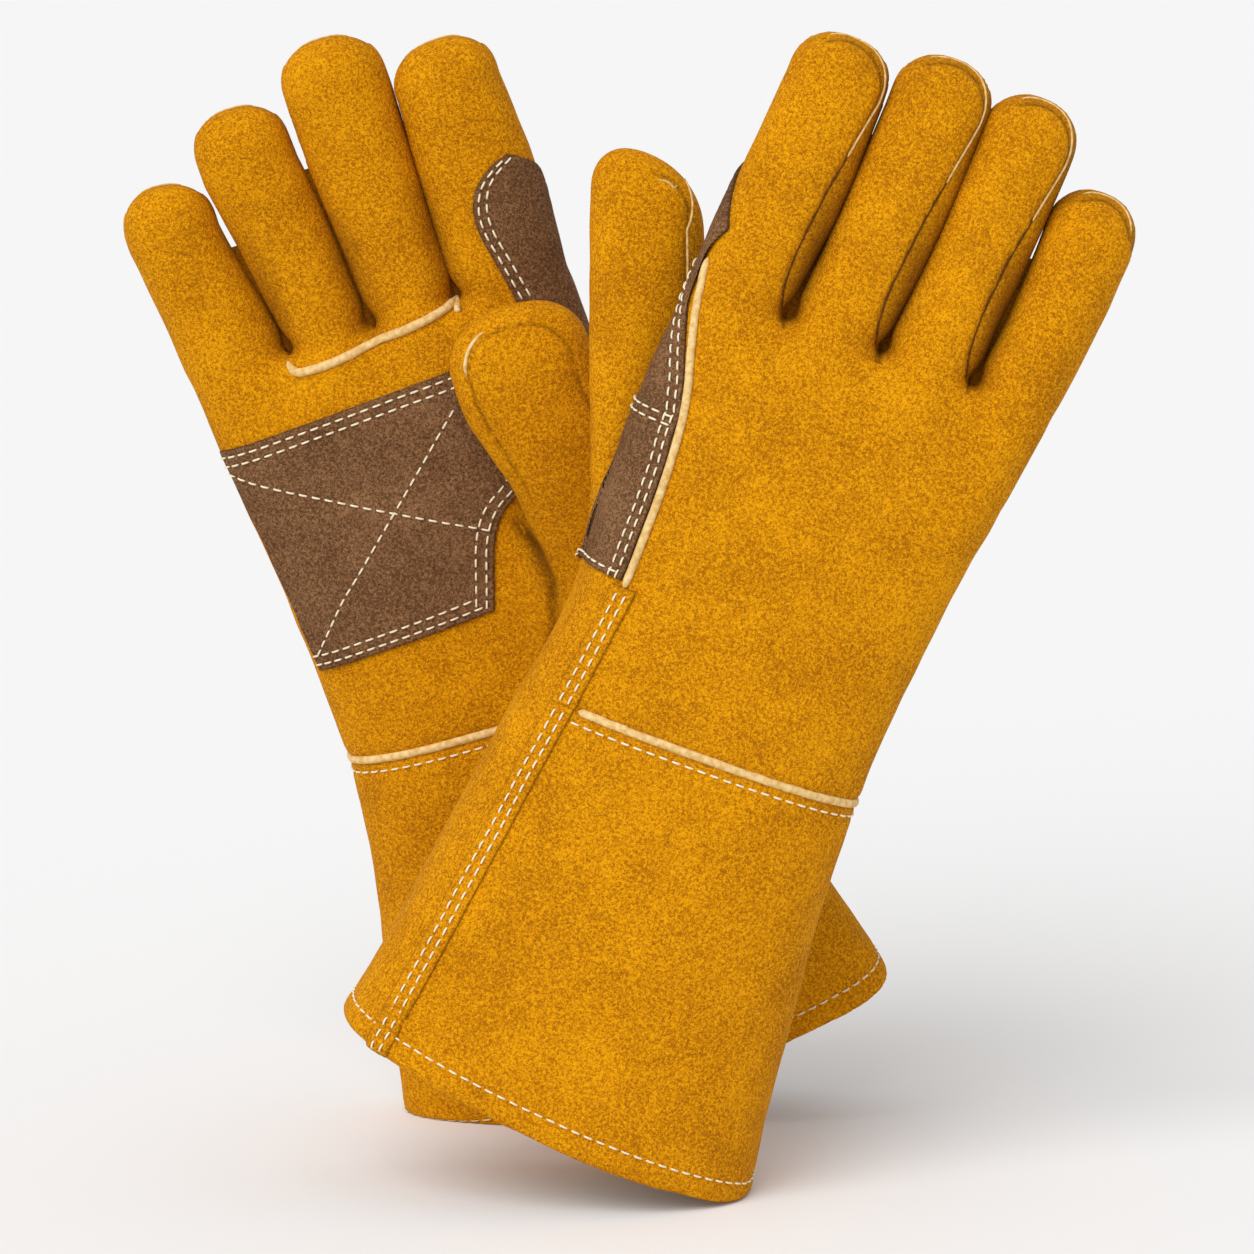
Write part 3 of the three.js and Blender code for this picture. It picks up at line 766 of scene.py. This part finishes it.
def gusset_path(glove, index):
    """The seam on the back of a finger, from its crotch round its tip, as (x, z). The little
    finger's has only the stretch round the tip."""
    _, tip, edges = glove.fingers[index]
    bottom, top = 303, tip - 19
    rise, inset = (0, 0.12, 0.3, 0.55, 0.8, 1), (3.2, 7.2, 8.8, 8.2, 5.2, 2.4)
    path = []
    for z in np.linspace(bottom, top, 12):
        path.append((float(edges(z)[0]) + float(np.interp((z - bottom) / (top - bottom), rise, inset)), z))
    centre = tip - FINGER_TIP
    low, high = (float(v) for v in edges(centre))
    middle, half = (low + high) / 2, (high - low) / 2 - 2.2
    for turn in np.radians(np.linspace(170, 55, 10)):
        path.append((middle + half * math.cos(turn), centre + 15.2 * math.sin(turn)))
    return path[13:] if index == LITTLE else path


def relief(glove, points, normals, finger, on_thumb, thumb_lead):
    """How far the leather stands out at its points, and how much painted shade darkens it in its seams, folds
    and creases.
    """
    x, y, z = points.T
    flat = np.stack([x, z], axis=1)
    push, shade = np.zeros(len(points)), np.zeros(len(points))
    # soft unevenness of hide that has been handled, not the same on both gloves
    seed = glove.hem_skew * 90
    push += 1.1 * wrinkles(points, 42.0, seed)
    push += 0.35 * wrinkles(points, 13.0, 5.0 + seed)
    # the wrist seam and the hem are drawn in by their stitching, with painted shade in the wrist seam
    outside = np.where((y > -6) & (x > side_seam(z) - 1.5), 0.0, 1.0)
    push -= outside * 1.3 * np.exp(-((z - WRIST_SEAM) / 2.6) ** 2)
    push -= outside * 0.5 * np.exp(-((z - WRIST_SEAM + 5.2) / 1.3) ** 2)
    push -= 0.55 * np.exp(-((glove.above_hem(x, y, z) - HEM_ROW) / 1.4) ** 2)
    shade += 0.25 * outside * np.exp(-((z - WRIST_SEAM) / 2.2) ** 2)
    # gusset seams on the backs of the fingers, sunk, with painted shade along each seam and over the strip
    # between seam and slit
    for i, (_, _, edges) in enumerate(glove.fingers):
        mine = (finger == i) & (z > 298) & (normals[:, 1] > -0.15) & ~on_thumb
        gap, side = path_distance(flat[mine], gusset_path(glove, i))
        inside = smoothstep(0.0, 1.4, -gap * side)
        from_slit = np.maximum(x[mine] - edges(z[mine])[0], 0)
        push[mine] += -0.9 * np.exp(-(gap / 0.9) ** 2) - 0.6 * inside
        shade[mine] += 0.7 * np.exp(-(gap / 0.55) ** 2) + inside * (0.14 + 0.5 * np.exp(-from_slit / 2.6))
    # the shade between two fingers
    crotch = np.zeros(len(points))
    for (_, _, edges), (_, _, next_edges) in zip(glove.fingers[:-1], glove.fingers[1:]):
        middle = (float(edges(SPREAD_TO)[0]) + float(next_edges(SPREAD_TO)[1])) / 2
        near = np.exp(-((x - middle) / 5.0) ** 2) * smoothstep(296, 304, z)
        crotch = np.maximum(crotch, near * (1 - smoothstep(330, 360, z)))
    shade += 0.35 * np.where(on_thumb, 0, crotch)
    # the seam round the thumb, sunk, with painted shade in its groove
    share = glove.thumb_share(z)
    mine = on_thumb & (share > 0.35) & ((normals[:, 1] < 0.2) | (x < glove.thumb(z)[0]))
    depth_in = thumb_ring(glove, x, z)
    fade = smoothstep(0.4, 0.62, share) * mine
    rim = 0.8 * np.exp(-((depth_in - 5.4) / 0.8) ** 2)
    push -= fade * (rim + 0.5 * smoothstep(4.8, 6.2, depth_in) * (normals[:, 1] < 0))
    shade += fade * 0.6 * np.exp(-((depth_in - 5.4) / 0.5) ** 2)
    # the fold where the thumb's root swells over the palm, sunk, with painted shade in it
    mine = (normals[:, 1] < 0.1) & (z > 150) & (z < 226) & (x > -6) & (x < 40)
    gap, _ = path_distance(flat[mine], THUMB_FOLD)
    ends = smoothstep(152, 172, z[mine]) * (1 - smoothstep(212, 224, z[mine]))
    push[mine] -= ends * 1.7 * np.exp(-(gap / 2.0) ** 2)
    shade[mine] += ends * 0.6 * np.exp(-(gap / 2.2) ** 2)
    # painted shade in the crease between thumb and hand
    web = np.exp(-(thumb_lead / 5.0) ** 2) * smoothstep(0.12, 0.35, share)
    shade += 0.35 * web * (z < glove.thumb_high)
    return push, np.clip(shade, 0, 1)


def build_leather(glove, step):
    """The leather of one glove as points, quads, shade, the part each quad belongs to, and
    whether it is on the outside. The far side of the wall in the cuff is left out."""
    points, quads = surface_nets(glove.field, (-124, -62, -14), (112, 54, 416), step)
    points = settle(points, glove.field)
    x, y, z = points.T
    spread = np.stack(glove.spread_roots(z), axis=0)
    for i, (_, _, edges) in enumerate(glove.fingers):
        low, high = edges(z)
        spread[i] = (low + high) / 2 + spread[i] - glove.roots[i]
    finger = np.argmin(np.abs(spread - x), axis=0)
    thumb_gap, hand_gap = glove.thumb_field(x, y, z), glove.hand(x, y, z)
    on_thumb = (thumb_gap < hand_gap) & (glove.thumb_share(z) > 0.1)
    points[:, 0] = np.where(on_thumb, x, glove.gather(x, z, finger))
    normals = vertex_normals(points, quads)
    push, shade = relief(glove, points, normals, finger, on_thumb, thumb_gap - hand_gap)
    points = points + normals * push[:, None]
    middle = points[quads].mean(axis=1)
    part = np.full(len(quads), "hand", dtype=object)
    part[middle[:, 2] < 140] = "cuff"
    for i, (name, _, _) in enumerate(glove.fingers):
        part[(middle[:, 2] > 300) & (finger[quads[:, 0]] == i)] = name
    part[(on_thumb[quads].sum(axis=1) >= 3) & (glove.thumb_share(middle[:, 2]) > 0.12)] = "thumb"
    normal = vertex_normals(points, quads)[quads].mean(axis=1)
    facing = (normal * middle * np.array([1, 1, 0])).sum(axis=1)
    inward = (middle[:, 2] < 40) & (facing < 0)
    keep = ~(inward & (glove.above_hem(*middle.T) > 12.5))
    return points, quads[keep], shade, part[keep], ~inward[keep]


def thumb_ring(glove, x, z):
    """How far inside the thumb's outline a point is."""
    tip = glove.thumb_high - THUMB_TIP
    centre, half, _ = glove.thumb(np.clip(z, None, tip))
    across, past = np.abs(x - centre) / half, np.maximum(z - tip, 0) / THUMB_TIP
    return (1 - np.sqrt(across**2 + past**2)) * THUMB_TIP


def hidden_root(glove, part):
    """The leather of hand or thumb that the other covers, seen only when the thumb swings away."""
    field, cover = (glove.hand, glove.thumb_field) if part == "hand" else (glove.thumb_field, glove.hand)
    points, quads = surface_nets(field, (-24, -62, 146), (112, 44, 312), 2.5)
    points = settle(points, field, 1)
    covered = cover(*points.T) < 4.5
    quads = quads[covered[quads].all(axis=1)]
    points = points - 0.9 * vertex_normals(points, quads)
    if part == "hand":
        points[:, 0] = glove.gather(points[:, 0], points[:, 2])
    used, renamed = np.unique(quads, return_inverse=True)
    return points[used], renamed.reshape(quads.shape)


def tree_of(points, quads):
    return BVHTree.FromPolygons([tuple(p) for p in points], [tuple(map(int, q)) for q in quads])


def leather_pieces(glove, step):
    """The leather of cuff, hand, fingers and thumb; hand and thumb each also get the part that the other
    covers.
    """
    points, quads, shade, part, outer = build_leather(glove, step)
    glove.hand_tree = tree_of(points, quads[(part != "thumb") & outer])
    glove.thumb_tree = tree_of(points, quads[part == "thumb"])
    nodes = {
        "cuff": ("cuff_back_panel", "cuff_palm_panel", "hem_band"),
        "hand": ("hand_back_panel", "palm_panel"),
        "thumb": ("thumb_back", "thumb_front"),
    }
    for name, _, _ in glove.fingers:
        nodes[name] = (name + "_back", name + "_front")
    for name, stands_for in nodes.items():
        mine = quads[part == name]
        used, renamed = np.unique(mine, return_inverse=True)
        own, faces, tones = points[used], renamed.reshape(mine.shape), shade[used]
        if name in ("hand", "thumb"):
            root, root_faces = hidden_root(glove, name)
            faces = np.concatenate([faces, root_faces + len(own)])
            # the covered roots get an even painted shade
            own, tones = np.concatenate([own, root]), np.concatenate([tones, np.full(len(root), 0.35)])
        piece = add_piece(
            glove, name + "_leather", own, faces, material("Gold split suede"), name, stands_for, tones,
        )


def gusset_pieces(glove):
    """The strips of leather between the fingers, and the one along the outside of the little finger, coloured
    a darker gold as painted shade.
    """
    for index, (name, tip, edges) in enumerate(glove.fingers):
        beside = glove.fingers[index if index == LITTLE else index + 1]
        heights = np.linspace(294, min(tip, beside[1]) - 31, 20)
        points, faces = [], []
        for z in heights:
            high = float(edges(z)[0]) + 4.0
            low = high - 3.0 if index == LITTLE else float(beside[2](z)[1]) - 4.0
            middle = float(glove.curl(index, z)) - 0.5
            for share in np.linspace(0, 1, 7):
                hollow = 1.6 * (1 - (2 * share - 1) ** 2)
                x = high + (low - high) * share
                points += [(x, middle + 1.0 - hollow, z), (x, middle - 1.0 + hollow * 0.6, z)]
        for j, k in np.ndindex(len(heights) - 1, 6):
            a, b = (j * 7 + k) * 2, ((j + 1) * 7 + k) * 2
            faces += [(a, a + 2, b + 2, b), (a + 1, b + 1, b + 3, a + 3)]
        # painted shade: the gussets take a darker copy of the gold suede
        hide = material("Gold split suede, painted shade")
        add_piece(glove, name + "_gusset", points, faces, hide, name, (name + "_fourchette",))


def lining_pieces(glove):
    """The canvas tube in the cuff and the fleece sock in the hand, lofted inside the leather."""
    count = 72

    def ring(z, inset):
        thumb_half, little_half, depth, power = (float(v) for v in glove.outline(z))
        points = []
        for turn in np.linspace(0, 2 * math.pi, count, endpoint=False):
            c, s = math.cos(turn), math.sin(turn)
            half = (thumb_half if c > 0 else little_half) - inset
            x = math.copysign(abs(c) ** (2 / power), c) * half
            points.append((x, math.copysign(abs(s) ** (2 / power), s) * (depth - inset), z))
        return points

    def loft(rings):
        faces = []
        for j, k in np.ndindex(len(rings) - 1, count):
            m = (k + 1) % count
            faces.append((j * count + m, j * count + k, (j + 1) * count + k, (j + 1) * count + m))
        return [point for line in rings for point in line], faces

    rings = []
    for rise in (9.0, 11.0, 16.0, 30.0, 50.0, 80.0, 110.0, CUFF_LENGTH):
        line = ring(rise, HEM_WALL + 0.6 + (1.2 if rise > 12 else 0))
        rings.append([(x, y, glove.hem(x, rise) if rise < CUFF_LENGTH else z) for x, y, z in line])
    points, faces = loft(rings)
    canvas = material("Natural cotton canvas")
    cuff = add_piece(glove, "cuff_canvas_lining", points, faces, canvas, "cuff", ("cuff_lining",))
    rings = [ring(z, 5.5) for z in (141.0, 170.0, 200.0, 230.0, 260.0, 285.0)] + [ring(291.0, 9.0)]
    points, faces = loft(rings)
    faces.append(tuple(range(len(points) - count, len(points))))
    fleece = material("Brushed fleece")
    hand = add_piece(glove, "hand_fleece_lining", points, faces, fleece, "hand", ("hand_lining",))


def seam_strip_pieces(glove, sizes):
    """The lapped strip up the thumb side of cuff and hand, ending in a raw edge."""
    for part, low, high in (("cuff", glove.hem(58.0, 1.5, 30), 143.6), ("hand", 143.4, 191.0)):
        left = [(side_seam(z), z) for z in np.linspace(low, high, 12)]
        right = [(side_seam(z) + STRIP_WIDTH, z) for z in np.linspace(low, high, 12)]
        name = part + "_seam_strip"
        borders = ([left[0], right[0]], [left[-1], right[-1]], left, right)
        patch_piece(glove, name, part, name, borders, 1, 1.3, hide="Gold split suede")
        rows = []
        for inset in STRIP_ROWS:
            line = [(side_seam(z) + inset, z) for z in np.linspace(low + 1, high - 1, 24)]
            rows.append((line, 1, 1.45))
        stitch_piece(glove, part + "_seam_stitches", part, rows, sizes)


def palm_patch(glove, sizes):
    """The brown patch on the palm, with rows along its edges and from corner to corner."""
    def little_edge(z):
        return -float(glove.outline(z)[1]) - 2.5

    left_bottom, left_top = little_edge(183.0), little_edge(272.0)
    bottom = [(left_bottom, 181.5), (-40, 185), (-1.5, 188)]
    right = rounded([
        (-1.5, 188), (2.2, 200), (6.5, 214), (13.5, 224), (24, 229.5), (30, 240), (32, 262), (32, 280),
    ])
    top = [(left_top, 273.2), (-30, 276.5), (13, 279), (32, 280)]
    left = [(left_bottom, 181.5), (little_edge(230.0), 228), (left_top, 273.2)]
    borders = (bottom, top, left, right)
    patch_piece(glove, "palm_patch_leather", "hand", "palm_patch", borders, -1, 1.7, PALM_ROWS)
    rows = []
    for inset in PALM_ROWS:
        corner = (bottom[-1][0] - inset * 0.9, bottom[-1][1] + inset)
        rows.append(([(u, z + inset) for u, z in bottom[:-1]] + [corner], -1, 1.65))
        rows.append(([(u, z - inset) for u, z in top[:-1]], -1, 1.65))
        rows.append(([(u - inset, z + inset * 0.5) for u, z in right if z < 262], -1, 1.65))
    rows.append(([(left_top + 1, 264.5), (7.6, 217)], -1, 1.75))
    rows.append(([(6.9, 265), (left_bottom + 2, 187)], -1, 1.75))
    stitch_piece(glove, "palm_patch_stitches", "hand", rows, sizes)


def beside_piping(glove, z, gap):
    """A point on the back that lies gap inside the thumb-side edge's piping, as (u, z) counted on
    from the palm."""
    heights = [point[1] for point in EDGE_WELT]
    x = float(np.interp(z, heights, [point[0] for point in EDGE_WELT])) + gap
    depth = float(glove.outline(z)[2]) * EDGE_ROUND
    right = glove.edge(z) - depth
    if x < right:
        return right + math.pi * depth + (right - x), z
    return right + depth * (math.pi - math.asin(min(1, (x - right) / depth))), z


def index_patch(glove, sizes):
    """The brown patch from the palm side of the index finger round its edge to the back."""
    edge = glove.edge(300.0)
    left = rounded([
        (edge - 15, 256), (edge - 17, 285), (edge - 21.5, 310), (edge - 25.5, 328), (edge - 22, 341),
        (edge - 12, 348.5), (edge - 6, 350),
    ])
    right = [beside_piping(glove, z, 1.6) for z in (256, 268, 280, 292, 303, 311)]
    bottom = [tuple(left[0]), (glove.edge(256.0), 256), right[0]]
    top = [tuple(left[-1]), (edge + 8, 340), (edge + 18, 324), right[-1]]
    borders = (bottom, top, left, right)
    patch_piece(glove, "index_patch_leather", "index", "index_patch", borders, -1, 1.6, EDGE_ROWS)
    rows = []
    for inset in EDGE_ROWS:
        rows.append(([(u + inset, z) for u, z in left[:-4]], -1, 1.6))
        rows.append(([(u - inset, z) for u, z in right], -1, 1.6))
    stitch_piece(glove, "index_patch_stitches", "index", rows, sizes)


def side_patch(glove, sizes):
    """The brown patch on the hand's thumb-side edge, with rows up its back edge and across it."""
    heights = (193, 205, 220, 238, 257)
    right = [beside_piping(glove, z, 1.6) for z in heights]
    left = [(glove.edge(z) - 16, z) for z in heights]
    borders = ([left[0], right[0]], [left[-1], right[-1]], left, right)
    patch_piece(glove, "side_patch_leather", "hand", "side_patch", borders, -1, 1.9, EDGE_ROWS)
    rows = [([(u - inset, z) for u, z in right], -1, 1.9) for inset in EDGE_ROWS]
    for z in (195.4, 254.6, 251.4):
        across = np.linspace(left[0][0] + 3, beside_piping(glove, z, 2.5)[0], 12)
        rows.append(([(u, z) for u in across], -1, 1.9))
    stitch_piece(glove, "side_patch_stitches", "hand", rows, sizes)


def patch_pieces(glove, sizes):
    for build in (palm_patch, index_patch, side_patch):
        build(glove, sizes)


def round_rows(glove, height, lift, inset, gap=False):
    """Points and normals right round the cuff, where height(x, y) gives z. With gap, the leather
    between the thumb-side edge and the side seam is left out."""
    spots, normals = [], []
    for turn in np.linspace(0, 2 * math.pi, 260, endpoint=False):
        c, s = math.cos(turn), math.sin(turn)
        z = height(0, 0)
        for _ in range(3):
            thumb_half, little_half, depth, power = (float(v) for v in glove.outline(z))
            reach = thumb_half if c > 0 else little_half
            x = math.copysign(abs(c) ** (2 / power), c) * reach
            y = math.copysign(abs(s) ** (2 / power), s) * depth
            z = height(x, y)
        outward = Vector((x / reach, y / depth, 0)).normalized()
        origin = Vector((x, y, z)) - outward * inset
        point, normal = glove.cast(glove.hand_tree, origin, outward, lift)
        if not (gap and y > -8 and x > side_seam(z) - 0.5):
            spots.append(tuple(point))
            normals.append(tuple(normal))
    return spots, normals


def finger_seam_pieces(glove):
    """The pale raw edge of each finger's seam, and a dark cord of painted shade in the fold beside its lower
    half.
    """
    for index, (name, tip, _) in enumerate(glove.fingers):
        path = gusset_path(glove, index)
        rays = []
        for x, z in resample(path if index == LITTLE else path[8:], 1.0):
            lean = 0.55 * max(0.0, z - tip + FINGER_TIP) / FINGER_TIP
            rays.append(((x, float(glove.curl(index, z)), z), (0, 1, lean)))
        line = cast_row(glove, glove.hand_tree, rays, 0.15)
        cord_piece(glove, name + "_seam_edge", name, line, 0.5, 0.8, 6)
        if index < LITTLE:
            # a dark cord of painted shade in the fold of the seam's lower half
            rays = [((x, float(glove.curl(index, z)), z), (0, 1, 0)) for x, z in resample(path[:10], 1.0)]
            line = cast_row(glove, glove.hand_tree, rays, 0.0)
            cord_piece(glove, name + "_seam_shadow", name, line, 0.42, 0.7, 6, hide="Painted seam shadow")


def thumb_seam_piece(glove):
    """The pale edge of the thumb's seam, up its side and round its tip, on the back and in front."""
    low, high = glove.thumb_low, glove.thumb_high
    tip = high - THUMB_TIP
    path = []
    for z in np.linspace(low + 0.5 * (high - low), tip, 12):
        centre, half, _ = (float(v) for v in glove.thumb(z))
        path.append((centre - half * 0.76, z))
    centre, half, back = (float(v) for v in glove.thumb(tip))
    for turn in np.linspace(175, 92, 12):
        t, reach = math.radians(turn), float(np.interp(turn, (92, 175), (0.93, 0.77)))
        path.append((centre + half * reach * math.cos(t), tip + THUMB_TIP * reach * math.sin(t)))
    rays = []
    for x, z in resample(path, 1.0):
        rays.append(((x, float(glove.thumb(min(z, high - 8))[2]), z), (0, 1, 0)))
    side = tube(*cast_row(glove, glove.thumb_tree, rays, 0.1), 0.5, 0.8, 6, 4)
    rays = []
    for turn in np.radians(np.linspace(176, 120, 16)):
        rays.append(((centre, back, tip), (math.cos(turn), -0.45, math.sin(turn))))
    front = tube(*cast_row(glove, glove.thumb_tree, rays, 0.1), 0.8, 0.8, 6, 4)
    cream = material("Cream welt leather")
    add_piece(glove, "thumb_seam_edge", *joined([side, front]), cream, "thumb", ("thumb_welt",))


def welt_pieces(glove, sizes):
    """Cream piping at the wrist, the thumb-side edge, the finger roots, and the finger and thumb seams."""
    radius = sizes.welt / MM / 2
    line = round_rows(glove, lambda x, y: WRIST_SEAM, 0.4, 8, gap=True)
    cord_piece(glove, "wrist_piping", "cuff", line, radius, 0.8, 10, 2, ("wrist_welt",))
    line = laid(glove, rounded(EDGE_WELT), 1, 0.5)
    cord_piece(glove, "edge_piping", "index", line, radius, 0.85, 8, 4, ("edge_welt",))
    path = rounded([
        (-47.8, 299.0), (-46.8, 295.6), (-44.0, 293.8), (-30, 294.6), (-13.6, 296.6), (4, 299.0),
        (17.0, 300.8), (19.4, 302.0), (20.0, 304.5),
    ])
    line = laid(glove, path, -1, 0.6)
    cord_piece(glove, "finger_root_piping", "hand", line, 1.7, 0.85, 10, 4, ("finger_base_welt",))
    finger_seam_pieces(glove)
    thumb_seam_piece(glove)


def seam_row_pieces(glove, sizes):
    """The stitch rows under the wrist piping and above the hem."""
    thread = material("Cream sewing thread")
    line = round_rows(glove, lambda x, y: WRIST_SEAM - WRIST_ROW, 0.1, 8, gap=True)
    add_piece(glove, "wrist_stitches", *stitches(*line, sizes), thread, "cuff")
    line = round_rows(glove, lambda x, y: glove.hem(x, HEM_ROW, y), 0.1, 2.5)
    add_piece(glove, "hem_stitches", *stitches(*line, sizes, closed=True), thread, "cuff")


# --- the add-on ------------------------------------------------------------------------------------


def length(name, description, default, low, high):
    """A property that holds a length in metres."""
    return FloatProperty(
        name=name, description=description, default=default, min=low, max=high,
        subtype="DISTANCE", unit="LENGTH")


def tint(name, description):
    """A property that holds a colour to multiply a material's own colours by."""
    return FloatVectorProperty(
        name=name, description=description, default=(1, 1, 1), min=0, max=2, size=3, subtype="COLOR")


class GloveSettings(bpy.types.PropertyGroup):
    """Sizes of the leather and of the sewing, and tints of what they are made of."""
    grain: length("Leather mesh step", "Spacing of the points of the leather", 0.0016, 0.001, 0.006)
    stitch: length("Stitch length", "Length of thread seen in one stitch", 0.0036, 0.001, 0.008)
    stitch_gap: length("Stitch gap", "Leather seen between two stitches", 0.0013, 0.0003, 0.005)
    thread: length("Thread thickness", "Thickness of the sewing thread", 0.0008, 0.0003, 0.002)
    welt: length("Piping width", "Width of the cream piping", 0.0032, 0.001, 0.008)
    gold_tint: tint("Gold leather tint", "Multiplies the colours of the gold leather")
    brown_tint: tint("Brown leather tint", "Multiplies the colours of the brown patches")
    piping_tint: tint("Piping tint", "Multiplies the colours of the cream piping")
    thread_tint: tint("Thread tint", "Multiplies the colours of the sewing thread")
    lining_tint: tint("Lining tint", "Multiplies the colours of the canvas and the fleece")


class StageSettings(bpy.types.PropertyGroup):
    """The camera and the light."""
    elevation: FloatProperty(
        name="Camera elevation", description="Angle the camera looks down at",
        default=math.radians(9.0), subtype="ANGLE", unit="ROTATION")
    distance: length("Camera distance", "From the camera to the gloves", 2.3, 0.5, 20)
    frame_width: length("Width in view", "Width seen at the gloves", 0.467, 0.05, 5)
    aim: FloatVectorProperty(
        name="Aim", description="Point the camera looks at", default=(0.0, 0.0, 0.2005), size=3,
        subtype="TRANSLATION", unit="LENGTH")
    sun: FloatProperty(
        name="Key strength", description="Strength of the large soft key light", default=1.92, min=0)
    sky: FloatProperty(
        name="Sky strength", description="Strength of the even light all round", default=0.70, min=0)


def each_glove(build, *settings):
    """Runs build on both gloves, and stops the script if there is no leather to build on."""
    if not GLOVES:
        raise RuntimeError("the leather is built first")
    for glove in GLOVES.values():
        build(glove, *settings)
    return {"FINISHED"}


class GLOVES_OT_leather(bpy.types.Operator):
    """Build the leather of cuffs, hands, fingers and thumbs"""
    bl_idname = "gloves.leather"
    bl_label = "Leather"

    def execute(self, context):
        GLOVES["far_"] = Glove("far_", FAR_OUTLINE, FAR_HEM, FAR_FINGERS, FAR_THUMB, -1)
        GLOVES["near_"] = Glove("near_", NEAR_OUTLINE, NEAR_HEM, NEAR_FINGERS, NEAR_THUMB, 1)
        return each_glove(leather_pieces, context.scene.gloves.grain / MM)


class GLOVES_OT_linings(bpy.types.Operator):
    """Build the finger gussets, the canvas cuff linings and the fleece hand linings"""
    bl_idname = "gloves.linings"
    bl_label = "Gussets and Linings"

    def execute(self, context):
        each_glove(gusset_pieces)
        return each_glove(lining_pieces)


class GLOVES_OT_seam_strips(bpy.types.Operator):
    """Build the lapped strips up the thumb side with their two stitch rows"""
    bl_idname = "gloves.seam_strips"
    bl_label = "Side Seams"

    def execute(self, context):
        return each_glove(seam_strip_pieces, context.scene.gloves)


class GLOVES_OT_patches(bpy.types.Operator):
    """Build the brown reinforcement patches with their stitch rows"""
    bl_idname = "gloves.patches"
    bl_label = "Brown Patches"

    def execute(self, context):
        return each_glove(patch_pieces, context.scene.gloves)


class GLOVES_OT_welts(bpy.types.Operator):
    """Build the cream piping and the pale raw edges of the finger seams"""
    bl_idname = "gloves.welts"
    bl_label = "Piping"

    def execute(self, context):
        return each_glove(welt_pieces, context.scene.gloves)


class GLOVES_OT_stitch_rows(bpy.types.Operator):
    """Build the stitch rows round the wrist and the hem"""
    bl_idname = "gloves.stitch_rows"
    bl_label = "Wrist and Hem Stitches"

    def execute(self, context):
        return each_glove(seam_row_pieces, context.scene.gloves)


class GLOVES_OT_stage(bpy.types.Operator):
    """Build the floor, the lights and the camera"""
    bl_idname = "gloves.stage"
    bl_label = "Stage"

    def execute(self, context):
        scene = context.scene
        settings = scene.glove_stage
        scene.view_settings.view_transform = "Standard"
        mesh = bpy.data.meshes.new("Floor")
        mesh.from_pydata([(-60, -60, 0), (60, -60, 0), (60, 60, 0), (-60, 60, 0)], [], [(0, 1, 2, 3)])
        floor = bpy.data.objects.new("Floor", mesh)
        mesh.materials.append(plain("Pale paint", (1, 1, 1), "#F4F4F4", "#F2F2F2", 0.5, 0.9, 0.0))
        sun = bpy.data.lights.new("Key", "SUN")
        sun.energy = settings.sun
        sun.angle = math.radians(50)
        key = bpy.data.objects.new("Key", sun)
        key.rotation_euler = (math.radians(48), math.radians(-12), math.radians(-18))
        lens = bpy.data.cameras.new("Camera")
        lens.sensor_width = 36
        lens.lens = 36 * settings.distance / settings.frame_width
        lens.clip_end = 200
        camera = bpy.data.objects.new("Camera", lens)
        tilt = settings.elevation
        back = Vector((0, -math.cos(tilt), math.sin(tilt)))
        camera.location = Vector(settings.aim) + back * settings.distance
        camera.rotation_euler = (math.pi / 2 - tilt, 0, 0)
        for thing in (floor, key, camera):
            scene.collection.objects.link(thing)
        scene.camera = camera
        world = bpy.data.worlds.new("Studio")
        world.use_nodes = True
        sky = world.node_tree.nodes["Background"]
        sky.inputs["Color"].default_value = linear("#F5F5F5")
        sky.inputs["Strength"].default_value = settings.sky
        scene.world = world
        return {"FINISHED"}


class GLOVES_PT_panel(bpy.types.Panel):
    """Sizes and build steps of the gloves"""
    bl_label = "Welding Gloves"
    bl_idname = "GLOVES_PT_panel"
    bl_space_type = "VIEW_3D"
    bl_region_type = "UI"
    bl_category = "Gloves"

    def draw(self, context):
        layout = self.layout
        for settings in (context.scene.gloves, context.scene.glove_stage):
            for name in settings.__annotations__:
                layout.prop(settings, name)
        for step in STEPS:
            layout.operator("gloves." + step)


STEPS = ("leather", "linings", "seam_strips", "patches", "welts", "stitch_rows", "stage")
CLASSES = (
    GloveSettings, StageSettings, GLOVES_OT_leather, GLOVES_OT_linings, GLOVES_OT_seam_strips,
    GLOVES_OT_patches, GLOVES_OT_welts, GLOVES_OT_stitch_rows, GLOVES_OT_stage, GLOVES_PT_panel,
)


def register():
    for kind in CLASSES:
        bpy.utils.register_class(kind)
    bpy.types.Scene.gloves = PointerProperty(type=GloveSettings)
    bpy.types.Scene.glove_stage = PointerProperty(type=StageSettings)


def unregister():
    del bpy.types.Scene.glove_stage
    del bpy.types.Scene.gloves
    for kind in reversed(CLASSES):
        bpy.utils.unregister_class(kind)


def main():
    register()
    for step in STEPS:
        getattr(bpy.ops.gloves, step)()


if __name__ == "__main__":
    main()
